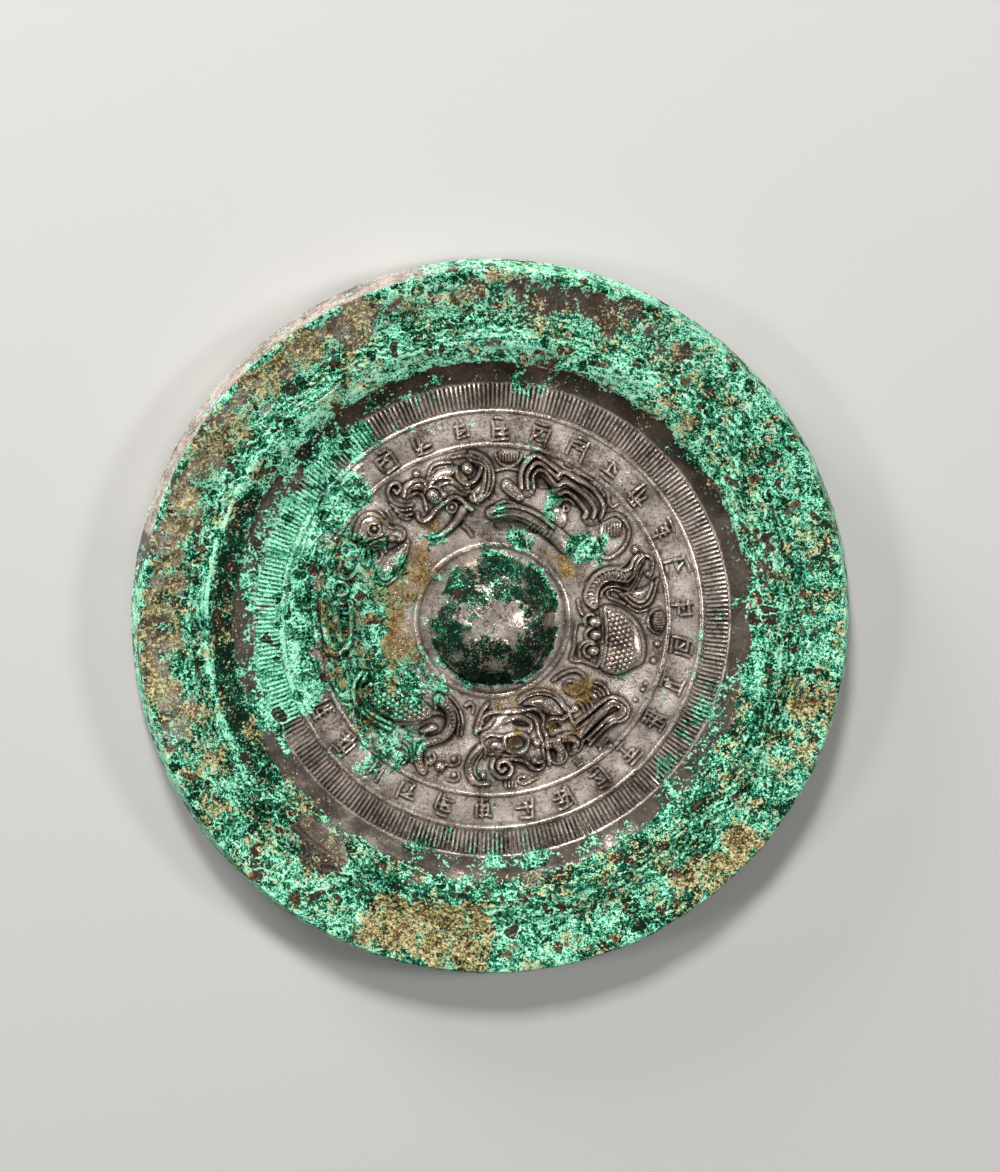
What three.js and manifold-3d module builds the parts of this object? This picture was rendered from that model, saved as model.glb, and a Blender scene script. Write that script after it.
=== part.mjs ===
// An ancient cast bronze mirror, lying on its polished face with the decorated back up.
// Millimetres, +Z up. The origin is under the middle of the disc, where it rests.
// The disc is turned from one profile; the beasts are raised forms joined to it, and the
// cord tunnel is cut through the knob.

import * as THREE from 'three';
import { mergeVertices } from 'three/addons/utils/BufferGeometryUtils.js';
import Module from 'manifold-3d';

// Driving dimensions
const DISC_R = 65; // the edge of the polished face, the widest circle
const FACE_BULGE = 1.5; // how far the convex face lifts its edge off the table
const REST_R = 16; // the small flat on which the convex face lies
const PLATE = 3.6; // thickness of the thin middle of the disc
const RIM_R = 63.2; // outer corner of the rim, a little inside the face's edge
const RIM_TOP = 9.5;
const RIM_FLAT_R = 55.8; // where the plain outer zone of the rim begins
const RIM_FLAT_Z = 7.5;
const EDGE_BEVEL = 0.4; // at the disc's edge and at the rim's outer corner
const FILLET_R = 51.7; // thin fillet round the inner edge of the rim
const FILLET_HALF_WIDTH = 0.5;
const FILLET_RISE = 0.3; // above the rim's flat
const FILLET_SINK = 0.1; // a shallow groove runs on each side of the fillet
const SLOPE_TOP_R = 50.8;
const SLOPE_TOP_Z = 7.6;
const SLOPE_FOOT_R = 46.5;
const SLOPE_FOOT_STEP = 0.6; // the slope starts with a small steep step
const SHELF_R = 43.5; // inner edge of the plain sloping shelf
const SHELF_INNER_RISE = 0.3; // the shelf climbs from this height above the floor
const SHELF_OUTER_RISE = 0.7; // to this one
const COMB_R = 43; // the band of fine teeth, left plain here
const OUTER_RING_R = 38;
const INNER_RING_R = 31.9;
const LETTER_BAND_CROWN = 0.35;
const RING_RISE = 0.5;
const RING_HALF_WIDTH = 0.45;
const KNOB_RING_R = 13.8;
const KNOB_R = 11.3;
const KNOB_RISE = 8.6;
const TUNNEL_WIDTH = 5.8;
const TUNNEL_HEIGHT = 5.7;
const TUNNEL_CORNER = 2;
const TUNNEL_LIFT = 0.1; // the tunnel's flat floor stands this far above the knob's foot

const TURN_STEPS = 60;
const KNOB_STEPS = 7;
const SINK = 1.2; // how far each raised form is rooted in the plate

const bronze = new THREE.MeshStandardMaterial({
  name: 'patinated bronze',
  color: 0x6f7f70,
  roughness: 0.45,
  metalness: 0.8,
});

// The convex polished face, flat out to REST_R and then part of a large sphere.
const faceRadius = (DISC_R ** 2 - REST_R ** 2) / (2 * FACE_BULGE);

function face(r) {
  return r <= REST_R ? 0 : (r ** 2 - REST_R ** 2) / (2 * faceRadius);
}

// The floor of the decorated side follows the bulge of the face.
function floor(r) {
  return PLATE + r ** 2 / (2 * faceRadius);
}

// Three profile points of a low ridge, from its outer foot to its inner foot.
function ridge(r, halfWidth, rise, base) {
  return [
    [r + halfWidth, base],
    [r, base + rise],
    [r - halfWidth, base],
  ];
}

// The upper quarter of the knob's elliptical section, from its foot to its top.
function knobProfile(steps) {
  const points = [];
  for (let i = 1; i <= steps; i += 1) {
    const angle = (i / steps) * (Math.PI / 2);
    const r = i === steps ? 0 : KNOB_R * Math.cos(angle);
    points.push([r, floor(KNOB_R) + KNOB_RISE * Math.sin(angle)]);
  }
  return points;
}

// The whole section of the disc, from under its middle round the rim to the knob's top.
function discProfile() {
  const edge = DISC_R - EDGE_BEVEL;
  const underside = [0, REST_R, REST_R * 2, REST_R * 3, edge].map((r) => [r, face(r)]);
  const slopeFoot = floor(SLOPE_FOOT_R) + SHELF_OUTER_RISE;
  const rim = [
    [DISC_R, face(DISC_R) + EDGE_BEVEL],
    [RIM_R + EDGE_BEVEL, RIM_TOP - EDGE_BEVEL],
    [RIM_R, RIM_TOP],
    [RIM_FLAT_R, RIM_FLAT_Z],
    ...ridge(FILLET_R, FILLET_HALF_WIDTH, FILLET_RISE + FILLET_SINK, RIM_FLAT_Z - FILLET_SINK),
    [SLOPE_TOP_R, SLOPE_TOP_Z],
    [SLOPE_FOOT_R + SLOPE_FOOT_STEP, slopeFoot + SLOPE_FOOT_STEP],
    [SLOPE_FOOT_R, slopeFoot],
    [SHELF_R, floor(SHELF_R) + SHELF_INNER_RISE],
    [COMB_R, floor(COMB_R)],
  ];
  const bandMiddle = (OUTER_RING_R + INNER_RING_R) / 2;
  const bands = [
    ...ridge(OUTER_RING_R, RING_HALF_WIDTH, RING_RISE, floor(OUTER_RING_R)),
    [bandMiddle, floor(bandMiddle) + LETTER_BAND_CROWN],
    ...ridge(INNER_RING_R, RING_HALF_WIDTH, RING_RISE, floor(INNER_RING_R)),
    ...ridge(KNOB_RING_R, RING_HALF_WIDTH, RING_RISE, floor(KNOB_RING_R)),
    [KNOB_R, floor(KNOB_R)],
  ];
  return [...underside, ...rim, ...bands, ...knobProfile(KNOB_STEPS)];
}

function disc() {
  const profile = discProfile().map(([r, z]) => new THREE.Vector2(r, z));
  return new THREE.LatheGeometry(profile, TURN_STEPS).rotateX(Math.PI / 2);
}

// A door-shaped bar with round upper corners, laid along Y through the knob.
function tunnel() {
  const half = TUNNEL_WIDTH / 2;
  const shoulder = TUNNEL_HEIGHT - TUNNEL_CORNER;
  const inset = half - TUNNEL_CORNER;
  const outline = new THREE.Shape();
  outline.moveTo(-half, 0);
  outline.lineTo(half, 0);
  outline.lineTo(half, shoulder);
  outline.absarc(inset, shoulder, TUNNEL_CORNER, 0, Math.PI / 2, false);
  outline.lineTo(-inset, TUNNEL_HEIGHT);
  outline.absarc(-inset, shoulder, TUNNEL_CORNER, Math.PI / 2, Math.PI, false);
  outline.closePath();
  const length = 2 * KNOB_R + 1;
  const settings = { depth: length, bevelEnabled: false, curveSegments: 4 };
  const bar = new THREE.ExtrudeGeometry(outline, settings);
  bar.rotateX(Math.PI / 2);
  bar.translate(0, length / 2, floor(KNOB_R) + TUNNEL_LIFT);
  return bar;
}

// A limb: a half-round ridge along a smooth route, tapering from one half width to another.
// Its ridge is as high as height where the limb is widest.
function limb(route, startWidth, endWidth, height) {
  const curve = new THREE.CatmullRomCurve3(route.map(([x, y]) => new THREE.Vector3(x, y, 0)));
  const steps = Math.max(2, Math.round(curve.getLength() / 1.9));
  const widest = Math.max(startWidth, endWidth);
  const positions = [];
  for (let i = 0; i <= steps; i += 1) {
    const t = i / steps;
    const centre = curve.getPointAt(t);
    const along = curve.getTangentAt(t);
    const half = startWidth + (endWidth - startWidth) * t;
    const rise = height * (0.55 + 0.45 * (half / widest));
    const base = floor(Math.hypot(centre.x, centre.y));
    const section = [
      [half, -SINK],
      [half, 0],
      [half * 0.62, rise * 0.78],
      [0, rise],
      [-half * 0.62, rise * 0.78],
      [-half, 0],
      [-half, -SINK],
    ];
    section.forEach(([side, up]) => {
      positions.push(centre.x + along.y * side, centre.y - along.x * side, base + up);
    });
  }
  return closedTube(positions, 7, steps);
}

// Joins rings of section points into a closed tube with flat ends.
function closedTube(positions, sides, steps) {
  const index = [];
  for (let i = 0; i < steps; i += 1) {
    for (let j = 0; j < sides; j += 1) {
      const a = i * sides + j;
      const b = i * sides + ((j + 1) % sides);
      index.push(a, a + sides, b, b, a + sides, b + sides);
    }
  }
  for (let j = 1; j < sides - 1; j += 1) {
    const last = steps * sides;
    index.push(0, j, j + 1);
    index.push(last, last + j + 1, last + j);
  }
  const geometry = new THREE.BufferGeometry();
  geometry.setAttribute('position', new THREE.Float32BufferAttribute(positions, 3));
  geometry.setIndex(index);
  return geometry;
}

// A swelling: half of an ellipsoid standing on the floor, turned by an angle in degrees.
function swelling(x, y, halfLength, halfWidth, rise, turn = 0) {
  const dome = new THREE.SphereGeometry(1, 12, 6);
  dome.rotateX(Math.PI / 2);
  dome.scale(halfLength, halfWidth, rise);
  dome.rotateZ(THREE.MathUtils.degToRad(turn));
  dome.translate(x, y, floor(Math.hypot(x, y)));
  return dome;
}

// The beast at the right: a scaled haunch, an arched neck, a looped tail and three claws.
function rightBeast() {
  const claws = [[18.4, -0.5], [18.3, -3], [18, -6.2]];
  return [
    swelling(23.4, -3.4, 7.2, 4.3, 2.4, 98),
    limb([[17.8, 2.6], [17.9, 5.2], [20, 7.6], [23.4, 7.6], [26.2, 10.4]], 1.2, 0.7, 1.5),
    limb([[21.2, 4.6], [24.4, 2.6], [27.4, 2.4], [29.4, 6]], 0.7, 0.6, 1),
    ...claws.map(([x, y]) => swelling(x, y, 1.1, 1, 1.3)),
  ];
}

// The large head at the lower right, with its jaw, brow, mane and a long looped feather.
function lowerHead() {
  return [
    swelling(5.6, -22.4, 6.6, 4.4, 1.8, -8),
    swelling(9.2, -15.6, 3.6, 1.7, 1.6, -25),
    swelling(11.4, -24.2, 2.5, 1.4, 1.9, -60),
    swelling(14.2, -22, 2.3, 1.3, 1.8, -40),
    limb([[-2.4, -19.8], [-0.6, -17.2], [3.4, -17.2], [7.6, -18], [8.8, -21.4]], 0.7, 1, 1.7),
    limb([[-0.6, -22.4], [-0.4, -26.4], [2, -28.4], [3.2, -26.6], [6.4, -25.6]], 0.7, 0.6, 1.8),
    limb([[15, -20], [19.6, -16.2], [23.2, -15.6]], 1.1, 1, 1.3),
    limb([[23.2, -17.4], [20.4, -19.4], [17.4, -22]], 1, 0.8, 1.2),
  ];
}

// The beast at the lower left: a scaled body whose neck curls over and under.
function leftBeast() {
  return [
    swelling(-16.8, -14, 6.4, 3.9, 2.2, -38),
    limb([[-10, -14.8], [-7.4, -16.4], [-6.8, -19.6], [-9.4, -22], [-12.4, -22.6]], 1.3, 1, 1.5),
    limb([[-13.2, -23], [-13.4, -25.2], [-12.6, -27.2]], 0.8, 0.5, 1.1),
    swelling(-11.6, -19.8, 1.9, 0.8, 0.8, 12),
  ];
}

// The limbs at the left, half lost under corrosion.
function leftLimbs() {
  return [
    limb([[-30.4, 5], [-30.6, 0], [-29.8, -3.6], [-27.8, -4.6]], 0.9, 0.9, 1.4),
    limb([[-26.6, -3.6], [-26, 0], [-26.2, 3.4]], 0.9, 0.8, 1.3),
    limb([[-25.6, -8], [-24.6, -13], [-21, -17.6]], 0.9, 1.1, 1.3),
    swelling(-26.4, 9.4, 1.9, 1.7, 1.5),
    swelling(-26.8, 6, 1.6, 1.2, 1.2),
  ];
}

// The small mask with a hanging tongue at the upper left.
function mask() {
  return [
    swelling(-21.2, 16.6, 2.6, 2, 1.7, 30),
    swelling(-17.4, 15.6, 1.8, 1.5, 1.6),
    swelling(-20.6, 13.2, 1.7, 1.2, 1.4),
    limb([[-16.6, 12.6], [-18.4, 10.2], [-19.4, 8.6]], 1.4, 1.2, 1),
    limb([[-22.2, 14.4], [-23, 12.4], [-22.6, 10.8]], 0.6, 0.8, 1),
  ];
}

// The upper dragon: its crested head, then the body that folds in two peaks.
function upperDragon() {
  return [
    swelling(-9.4, 24.4, 4.4, 3, 1.9, 15),
    swelling(-16, 22.4, 2.6, 1.8, 1.4, -50),
    swelling(-4.4, 27.4, 1.8, 1.8, 1.3),
    limb([[-3.4, 30], [-0.8, 28], [-0.2, 25], [-2.6, 22.4], [-5.6, 22.4]], 0.8, 1.3, 1.6),
    limb([[-4.4, 20.6], [-6.2, 18], [-9.4, 15.8]], 1.2, 0.6, 1.4),
    limb([[-13, 19], [-11.4, 18.6], [-10, 20]], 0.5, 0.7, 1.2),
    limb([[6, 23.4], [6.6, 27], [8.4, 28.2], [10.6, 26.2], [12, 25]], 1.3, 1.1, 1.6),
    limb([[10.4, 21.4], [12, 23.4], [14, 23.4], [16.6, 21], [17.4, 19.2]], 1.3, 1.2, 1.6),
    limb([[2.4, 23.8], [4.6, 22.4]], 1.5, 1.1, 1.2),
  ];
}

// The arched trunk above the knob, and the shell beyond its far end.
function trunk() {
  return [
    limb([[-1.6, 18.4], [2.2, 19.4], [6.4, 18.6], [10.4, 16.4], [13.4, 13.4]], 1, 1.6, 1.7),
    swelling(22, 15.6, 2.3, 3.6, 0.9, 8),
    swelling(22, 16.2, 1.5, 1.9, 1.5),
    swelling(14, 19.6, 2, 1.8, 1.2),
  ];
}

// Loose marks between the beasts: half shells, balls and a flat spiral.
function loosePieces() {
  return [
    swelling(2.9, 29.4, 2, 1, 1.1),
    swelling(30.2, -0.4, 1, 2, 1.1),
    swelling(25.8, 12.6, 0.7, 0.7, 0.7),
    swelling(-9.6, -26.9, 0.8, 0.8, 0.9),
    swelling(18.8, -13.4, 1.5, 1.1, 1.2, -35),
    swelling(14.8, -16.6, 1.2, 0.9, 1.2, -20),
    limb([[12, -9.8], [14.8, -9.2], [16.6, -11.4], [15.2, -13.4], [13.4, -12.6]], 0.4, 0.4, 0.7),
  ];
}

const wasm = await Module();
wasm.setup();

// A closed three.js geometry as a manifold solid.
function toSolid(geometry) {
  const bare = geometry.clone();
  bare.deleteAttribute('normal');
  bare.deleteAttribute('uv');
  const merged = mergeVertices(bare, 1e-4);
  const vertProperties = new Float32Array(merged.attributes.position.array);
  const triVerts = new Uint32Array(merged.index.array);
  return new wasm.Manifold(new wasm.Mesh({ numProp: 3, vertProperties, triVerts }));
}

// A manifold solid as a three.js geometry.
function toGeometry(solid) {
  const mesh = solid.getMesh();
  const geometry = new THREE.BufferGeometry();
  geometry.setAttribute('position', new THREE.BufferAttribute(mesh.vertProperties, mesh.numProp));
  geometry.setIndex(new THREE.BufferAttribute(mesh.triVerts, 1));
  return geometry;
}

const raisedForms = [
  ...rightBeast(),
  ...lowerHead(),
  ...leftBeast(),
  ...leftLimbs(),
  ...mask(),
  ...upperDragon(),
  ...trunk(),
  ...loosePieces(),
];

let casting = toSolid(disc());
raisedForms.forEach((form) => {
  casting = casting.add(toSolid(form));
});
casting = casting.subtract(toSolid(tunnel()));

const mirror = new THREE.Mesh(toGeometry(casting), bronze);
mirror.name = 'mirror';

const part = new THREE.Group();
part.add(mirror);

export default part;
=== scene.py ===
"""An ancient cast bronze mirror, lying on its polished face with the decorated back up."""

import math

import bpy
import numpy as np
from mathutils import Matrix, Vector


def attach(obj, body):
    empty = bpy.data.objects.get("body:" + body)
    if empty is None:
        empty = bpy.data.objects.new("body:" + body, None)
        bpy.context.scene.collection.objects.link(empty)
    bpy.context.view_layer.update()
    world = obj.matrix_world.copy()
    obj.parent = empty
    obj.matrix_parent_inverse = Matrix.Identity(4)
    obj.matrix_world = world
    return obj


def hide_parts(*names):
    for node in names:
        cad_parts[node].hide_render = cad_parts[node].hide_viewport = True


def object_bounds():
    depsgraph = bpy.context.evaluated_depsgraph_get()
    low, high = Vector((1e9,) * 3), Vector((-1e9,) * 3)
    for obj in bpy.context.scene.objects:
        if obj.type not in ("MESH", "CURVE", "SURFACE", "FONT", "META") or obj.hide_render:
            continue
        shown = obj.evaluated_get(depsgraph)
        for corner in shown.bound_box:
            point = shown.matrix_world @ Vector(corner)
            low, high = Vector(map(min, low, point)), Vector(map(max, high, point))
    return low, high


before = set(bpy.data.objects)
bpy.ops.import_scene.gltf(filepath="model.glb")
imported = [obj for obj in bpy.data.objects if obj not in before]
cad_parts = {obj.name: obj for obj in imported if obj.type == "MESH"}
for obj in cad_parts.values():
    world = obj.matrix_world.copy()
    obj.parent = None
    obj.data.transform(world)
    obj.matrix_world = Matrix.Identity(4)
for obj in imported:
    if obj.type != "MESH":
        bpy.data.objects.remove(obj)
cad_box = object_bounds()

# ---------------------------------------------------------------------------
# The camera. It looks almost straight down on the decorated back of the disc, a little
# from the upper left, from far enough away for the round rim to stay nearly round.

low, high = (Vector(corner) for corner in cad_box)
disc_middle = (low + high) / 2
disc_middle.z = low.z + 0.65 * (high.z - low.z)
disc_width = high.x - low.x

VIEW_DISTANCE = 0.9
FRAME_IN_DISCS = 1.38313  # the frame's width in widths of the disc
AIM_RIGHT, AIM_UP = 0.0011, 0.0066  # metres, so that the disc sits a little low and left
SENSOR = 36

toward_camera = Vector((-0.065, 0.113, 0.991)).normalized()
view_right = Vector((0, 1, 0)).cross(toward_camera).normalized()
view_up = toward_camera.cross(view_right)

camera_data = bpy.data.cameras.new("camera")
camera_data.sensor_fit = "HORIZONTAL"
camera_data.sensor_width = SENSOR
camera_data.lens = SENSOR * VIEW_DISTANCE / (disc_width * FRAME_IN_DISCS)
camera_data.clip_end = 20
camera = bpy.data.objects.new("camera", camera_data)
bpy.context.scene.collection.objects.link(camera)
bpy.context.scene.camera = camera
aim = disc_middle + view_right * AIM_RIGHT + view_up * AIM_UP
turn = Matrix((view_right, view_up, toward_camera)).transposed().to_4x4()
camera.matrix_world = Matrix.Translation(aim + toward_camera * VIEW_DISTANCE) @ turn

# ---------------------------------------------------------------------------
# The turned casting. The disc is cast in a mould turned on a wheel: a thin middle with a
# domed knob, plain raised rings, a cushioned band for the signs, and a thick raised rim.
# All lengths from here on are millimetres until the mesh is made.

DISC_R, REST_R, FACE_BULGE = 65.0, 16.0, 1.5
PLATE = 3.6
KNOB_R, KNOB_RISE = 11.3, 8.6
COMB_INNER, COMB_OUTER = 38.5, 43.0
RIM_R, RIM_TOP = 63.2, 9.5
SIGN_INNER, FIELD_R = 31.9, 38.0  # the sign band's two edges; the relief ends at the outer
RINGS = [  # radius, half width, rise
    (13.8, 0.55, 0.55), (SIGN_INNER, 0.5, 0.55), (FIELD_R, 0.45, 0.5),
]
face_radius = (DISC_R**2 - REST_R**2) / (2 * FACE_BULGE)


def smoothstep(start, end, value):
    """0 before start and 1 after end, with the cubic 3t2 - 2t3 between them."""
    t = np.clip((value - start) / (end - start), 0, 1)
    return t * t * (3 - 2 * t)


def face_height(r):
    """The polished face: flat out to REST_R, then a parabola up to FACE_BULGE at the edge."""
    return np.where(r <= REST_R, 0, (r**2 - REST_R**2) / (2 * face_radius))


def floor_height(r):
    """The floor of the decorated side: PLATE plus the same parabola."""
    return PLATE + r**2 / (2 * face_radius)


def half_round(distance, half_width):
    """The section of a round bead: the square root of 1 - (distance / half width) squared."""
    return np.sqrt(np.clip(1 - (distance / half_width) ** 2, 0, 1))


def top_height(r):
    """The decorated side outside the knob: straight runs between turned corners, softened over
    0.1 mm, with a half-round ring at each edge of the bands."""
    step, softness, reach = 0.02, 0.1, 20
    dense = np.arange(KNOB_R - 2, RIM_R + 1, step)
    above_floor = [
        (SIGN_INNER, 0), (33.2, 0.27), (35.0, 0.37), (36.8, 0.27), (38.1, 0), (43.0, 0.05),
        (43.3, 0.3), (46.5, 0.75), (46.9, 1.25),
    ]
    corners = [(KNOB_R - 2, floor_height(KNOB_R))]
    corners += [(at, floor_height(at) + rise) for at, rise in above_floor]
    corners += [
        (50.8, 7.62), (51.1, 7.42), (51.3, 7.72), (51.9, 7.74), (52.1, 7.46), (55.8, 7.5),
        (62.9, 9.42), (RIM_R, RIM_TOP), (RIM_R + 1, RIM_TOP),
    ]
    height = np.interp(dense, *np.array(corners).T)
    bell = np.exp(-0.5 * (np.arange(-reach, reach + 1) * step / softness) ** 2)
    padded = np.pad(height, reach, mode="edge")
    height = np.convolve(padded, bell / bell.sum(), mode="valid")
    z = np.interp(r, dense, height)
    for ring, half_width, rise in RINGS:
        z = z + rise * half_round(r - ring, half_width)
    return z


# ---------------------------------------------------------------------------
# The beasts and signs. They are pressed into the mould with small tools: swelling bodies
# first, then round beads, ribs and scales on them. They are worked out on one square map
# of heights above the floor, as body + bead - cut.

MAP_STEP, MAP_HALF = 0.1, 38.2
STOUT = 1.15  # every bead is this much wider than its tool
map_axis = np.arange(-MAP_HALF, MAP_HALF + MAP_STEP / 2, MAP_STEP)
map_x, map_y = np.meshgrid(map_axis, map_axis)
body = np.zeros_like(map_x)
bead = np.zeros_like(map_x)
cut = np.zeros_like(map_x)


def route(points, closed=False, step=0.12):
    """A Catmull-Rom curve through the points, sampled at even steps along its length."""
    p = np.array(points, float)
    if closed:
        p = np.vstack([p[-1:], p, p[:2]])
    else:
        p = np.vstack([2 * p[:1] - p[1:2], p, 2 * p[-1:] - p[-2:-1]])
    t = np.linspace(0, 1, 12, endpoint=False)[:, None]
    a, b, c, d = (p[k : len(p) - 3 + k][:, None, :] for k in range(4))
    square, cube = (2 * a - 5 * b + 4 * c - d) * t**2, (3 * b - a - 3 * c + d) * t**3
    curve = 0.5 * (2 * b + (c - a) * t + square + cube)
    curve = np.vstack([curve.reshape(-1, 2), p[-2:-1]])
    length = np.concatenate([[0], np.cumsum(np.hypot(*np.diff(curve, axis=0).T))])
    even = np.linspace(0, length[-1], max(3, int(length[-1] / step)))
    return np.stack([np.interp(even, length, curve[:, k]) for k in (0, 1)], 1), length[-1]


def window(line, reach):
    """The rows and columns of the map within reach of a line."""
    end = len(map_axis)
    first = ((line.min(0) - reach + MAP_HALF) / MAP_STEP).astype(int).clip(0, end - 2)
    last = (((line.max(0) + reach + MAP_HALF) / MAP_STEP).astype(int) + 2).clip(2, end)
    return slice(first[1], last[1]), slice(first[0], last[0])


def nearest(line, part):
    """For each cell of a part of the map, the distance to a line and how far along it, 0 to 1."""
    dx = map_x[part][..., None] - line[:, 0]
    dy = map_y[part][..., None] - line[:, 1]
    squares = dx**2 + dy**2
    k = squares.argmin(-1)
    distance = np.sqrt(np.take_along_axis(squares, k[..., None], -1)[..., 0])
    return distance, k / (len(line) - 1)


def raise_to(layer, part, height):
    """The higher of the layer and the new shape, so that shapes overlap without adding up."""
    layer[part] = np.maximum(layer[part], height)


def strand(points, half_width, rise, end_width=None, closed=False):
    """A half-round bead along a curve, tapering evenly from one half width to the other."""
    line, _ = route(points, closed)
    half_width, end_width = half_width * STOUT, (end_width or half_width) * STOUT
    widest = max(half_width, end_width)
    part = window(line, widest)
    distance, t = nearest(line, part)
    width = half_width + (end_width - half_width) * t
    height = rise * (0.35 + 0.65 * width / widest) * half_round(distance, width)
    raise_to(bead, part, height)


def strands(half_width, rise, *lines):
    """Strands pressed with one tool."""
    for line in lines:
        strand(line, half_width, rise)


def nested(half_width, rise, insets, rows):
    """Strands side by side: each row is a point, and its move for each unit of inset."""
    rows = np.array(rows, float)
    for inset in insets:
        strand(rows[:, :2] + inset * rows[:, 2:], half_width, rise)


def limb(points, half_width, rise, end_width=None, pitch=0, rib=0.0, slant=0.0):
    """A broad half-round body along a curve, with ribs across it as a raised cosine of the
    distance along it; slant shifts the ribs from one side of the limb to the other."""
    line, length = route(points)
    widest = max(half_width, end_width or 0)
    part = window(line, widest)
    distance, t = nearest(line, part)
    width = half_width + ((end_width or half_width) - half_width) * t
    raise_to(body, part, rise * (0.5 + 0.5 * width / widest) * half_round(distance, width))
    if pitch:
        wave = 0.5 + 0.5 * np.cos(2 * math.pi * (t * length + slant * distance) / pitch)
        raise_to(bead, part, rib * wave * half_round(distance, width * 0.92))


def inside(line, part):
    """Which cells of a part of the map a closed line goes round, by counting its crossings."""
    px, py = map_x[part][..., None], map_y[part][..., None]
    x0, y0 = line[:, 0], line[:, 1]
    x1, y1 = np.roll(x0, -1), np.roll(y0, -1)
    spans = (y0 > py) != (y1 > py)
    rise = np.where(y1 == y0, 1e-9, y1 - y0)
    return (spans & (px < x0 + (py - y0) * (x1 - x0) / rise)).sum(-1) % 2 == 1


def pillow(points, rise, roll, layer=None):
    """A swelling inside a closed outline: it climbs as a quarter circle from the edge to its
    full rise at the distance roll inside it."""
    line, _ = route(points, closed=True, step=0.25)
    part = window(line, 0.2)
    distance, _ = nearest(line, part)
    climb = np.clip(distance / roll, 0, 1)
    height = rise * np.sqrt(1 - (1 - climb) ** 2) * inside(line, part)
    raise_to(body if layer is None else layer, part, height)


def dome(x, y, half_length, half_width, rise, turned=0, layer=None):
    """Half an ellipsoid with its long side turned by an angle in degrees."""
    reach = max(half_length, half_width)
    part = window(np.array([[x, y]]), reach)
    c, s = math.cos(math.radians(turned)), math.sin(math.radians(turned))
    u = ((map_x[part] - x) * c + (map_y[part] - y) * s) / half_length
    v = ((map_y[part] - y) * c - (map_x[part] - x) * s) / half_width
    raise_to(body if layer is None else layer, part, rise * half_round(np.hypot(u, v), 1))


def arcs(x, y, radii, start, end, half_width=0.22, rise=0.35):
    """Concentric beads round one centre between two angles in degrees."""
    angle = np.radians(np.linspace(start, end, 7))
    for radius in radii:
        bend = np.stack([x + radius * np.cos(angle), y + radius * np.sin(angle)], 1)
        strand(bend, half_width, rise)


def ticks(first, last, count, lean, length=1.0, half_width=0.2, rise=0.35):
    """A row of short parallel beads, evenly spaced from first to last, leaning by an angle."""
    step = np.array([math.cos(math.radians(lean)), math.sin(math.radians(lean))]) * length / 2
    for middle in np.linspace(first, last, count):
        strand([middle - step, middle, middle + step], half_width, rise)


def scales(points, across, along, lean, rise):
    """Staggered rows of small round scales inside an outline: each is the top of an ellipse in
    its own cell, and every other row is shifted by half a scale."""
    line, _ = route(points, closed=True, step=0.25)
    part = window(line, 0.1)
    distance, _ = nearest(line, part)
    c, s = math.cos(math.radians(lean)), math.sin(math.radians(lean))
    u = (map_x[part] * c + map_y[part] * s) / across
    v = (map_y[part] * c - map_x[part] * s) / along
    row = np.floor(v)
    u = u + 0.5 * (row % 2)
    spread = np.hypot((u - np.floor(u) - 0.5) / 0.5, (v - row - 0.5) / 0.56)
    edge = smoothstep(0, 0.5, distance) * inside(line, part)
    raise_to(bead, part, rise * half_round(spread, 1) * edge)


# The beast at the right: a scaled haunch, an arched ribbed neck, looped tail, three claws.
haunch = [
    (19.9, 2.3), (22.5, 2.2), (24.8, 1), (26.6, -1), (27.6, -3.5), (27.8, -6), (27.2, -8),
    (25.4, -8.9), (22.5, -10.1), (19.8, -9.2), (19.7, -7), (20.2, -4), (20.2, -1),
]
pillow(haunch, 2.1, 3.6)
scales(
    [(20.8, 1.5), (23.6, 1.3), (25.2, -1), (25.6, -4), (25.4, -8), (22.5, -9.8), (20.4, -9),
     (20.9, -4)],
    0.95, 0.85, 15, 0.4,
)
strand(
    [(20.2, 2.2), (22.6, 1.9), (24.6, 0.7), (26.2, -1.2), (27.1, -3.6), (27.3, -6), (26.8, -7.8)],
    0.2, 0.3,
)
nested(
    0.2, 0.4, (0, 0.62),
    [(19.6, 1.9, 1, 0), (20, -1, 1, 0), (20, -4, 1, 0), (19.6, -7, 1, 0), (19.2, -8.6, 1, 0)],
)
limb(
    [(18.3, 2.7), (17.8, 4.1), (18, 5.4), (18.8, 7), (20.2, 8.1), (21.9, 8.2), (23.6, 7.9)],
    0.95, 1.3, 1.05, pitch=0.75, rib=0.3, slant=0.6,
)
limb([(23.6, 7.9), (25, 8.8), (25.8, 10), (27, 11.5)], 1.0, 1.2, 0.5)
strands(
    0.24, 0.75,
    [(18.4, 2.3), (17.2, 2.9), (16.8, 4.2), (17.2, 6), (18.4, 7.9), (20.4, 9.1), (22.4, 9.3),
     (24, 8.9), (25, 9.6), (25.5, 10.8), (26.4, 11.8)],
    [(18.9, 3.4), (19, 5), (19.8, 6.5), (21.3, 7.2), (23, 7), (24.4, 6.9), (25.6, 8), (26.4, 9.4),
     (27.4, 11.2)],
)
strand(
    [(25.6, 8.4), (26, 10), (27, 11.3), (28.2, 11.4), (29, 10.4), (28.9, 8.9), (28.4, 7.6)],
    0.24, 0.5,
)
nested(
    0.18, 0.4, (0, 0.55),
    [(24.5, 4.8, 1, 0), (25, 5.6, 1, 0), (25.9, 7.2, 1, 0), (26.5, 9, 1, 0)],
)
dome(28.2, 8.2, 0.55, 0.55, 0.6)
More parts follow.
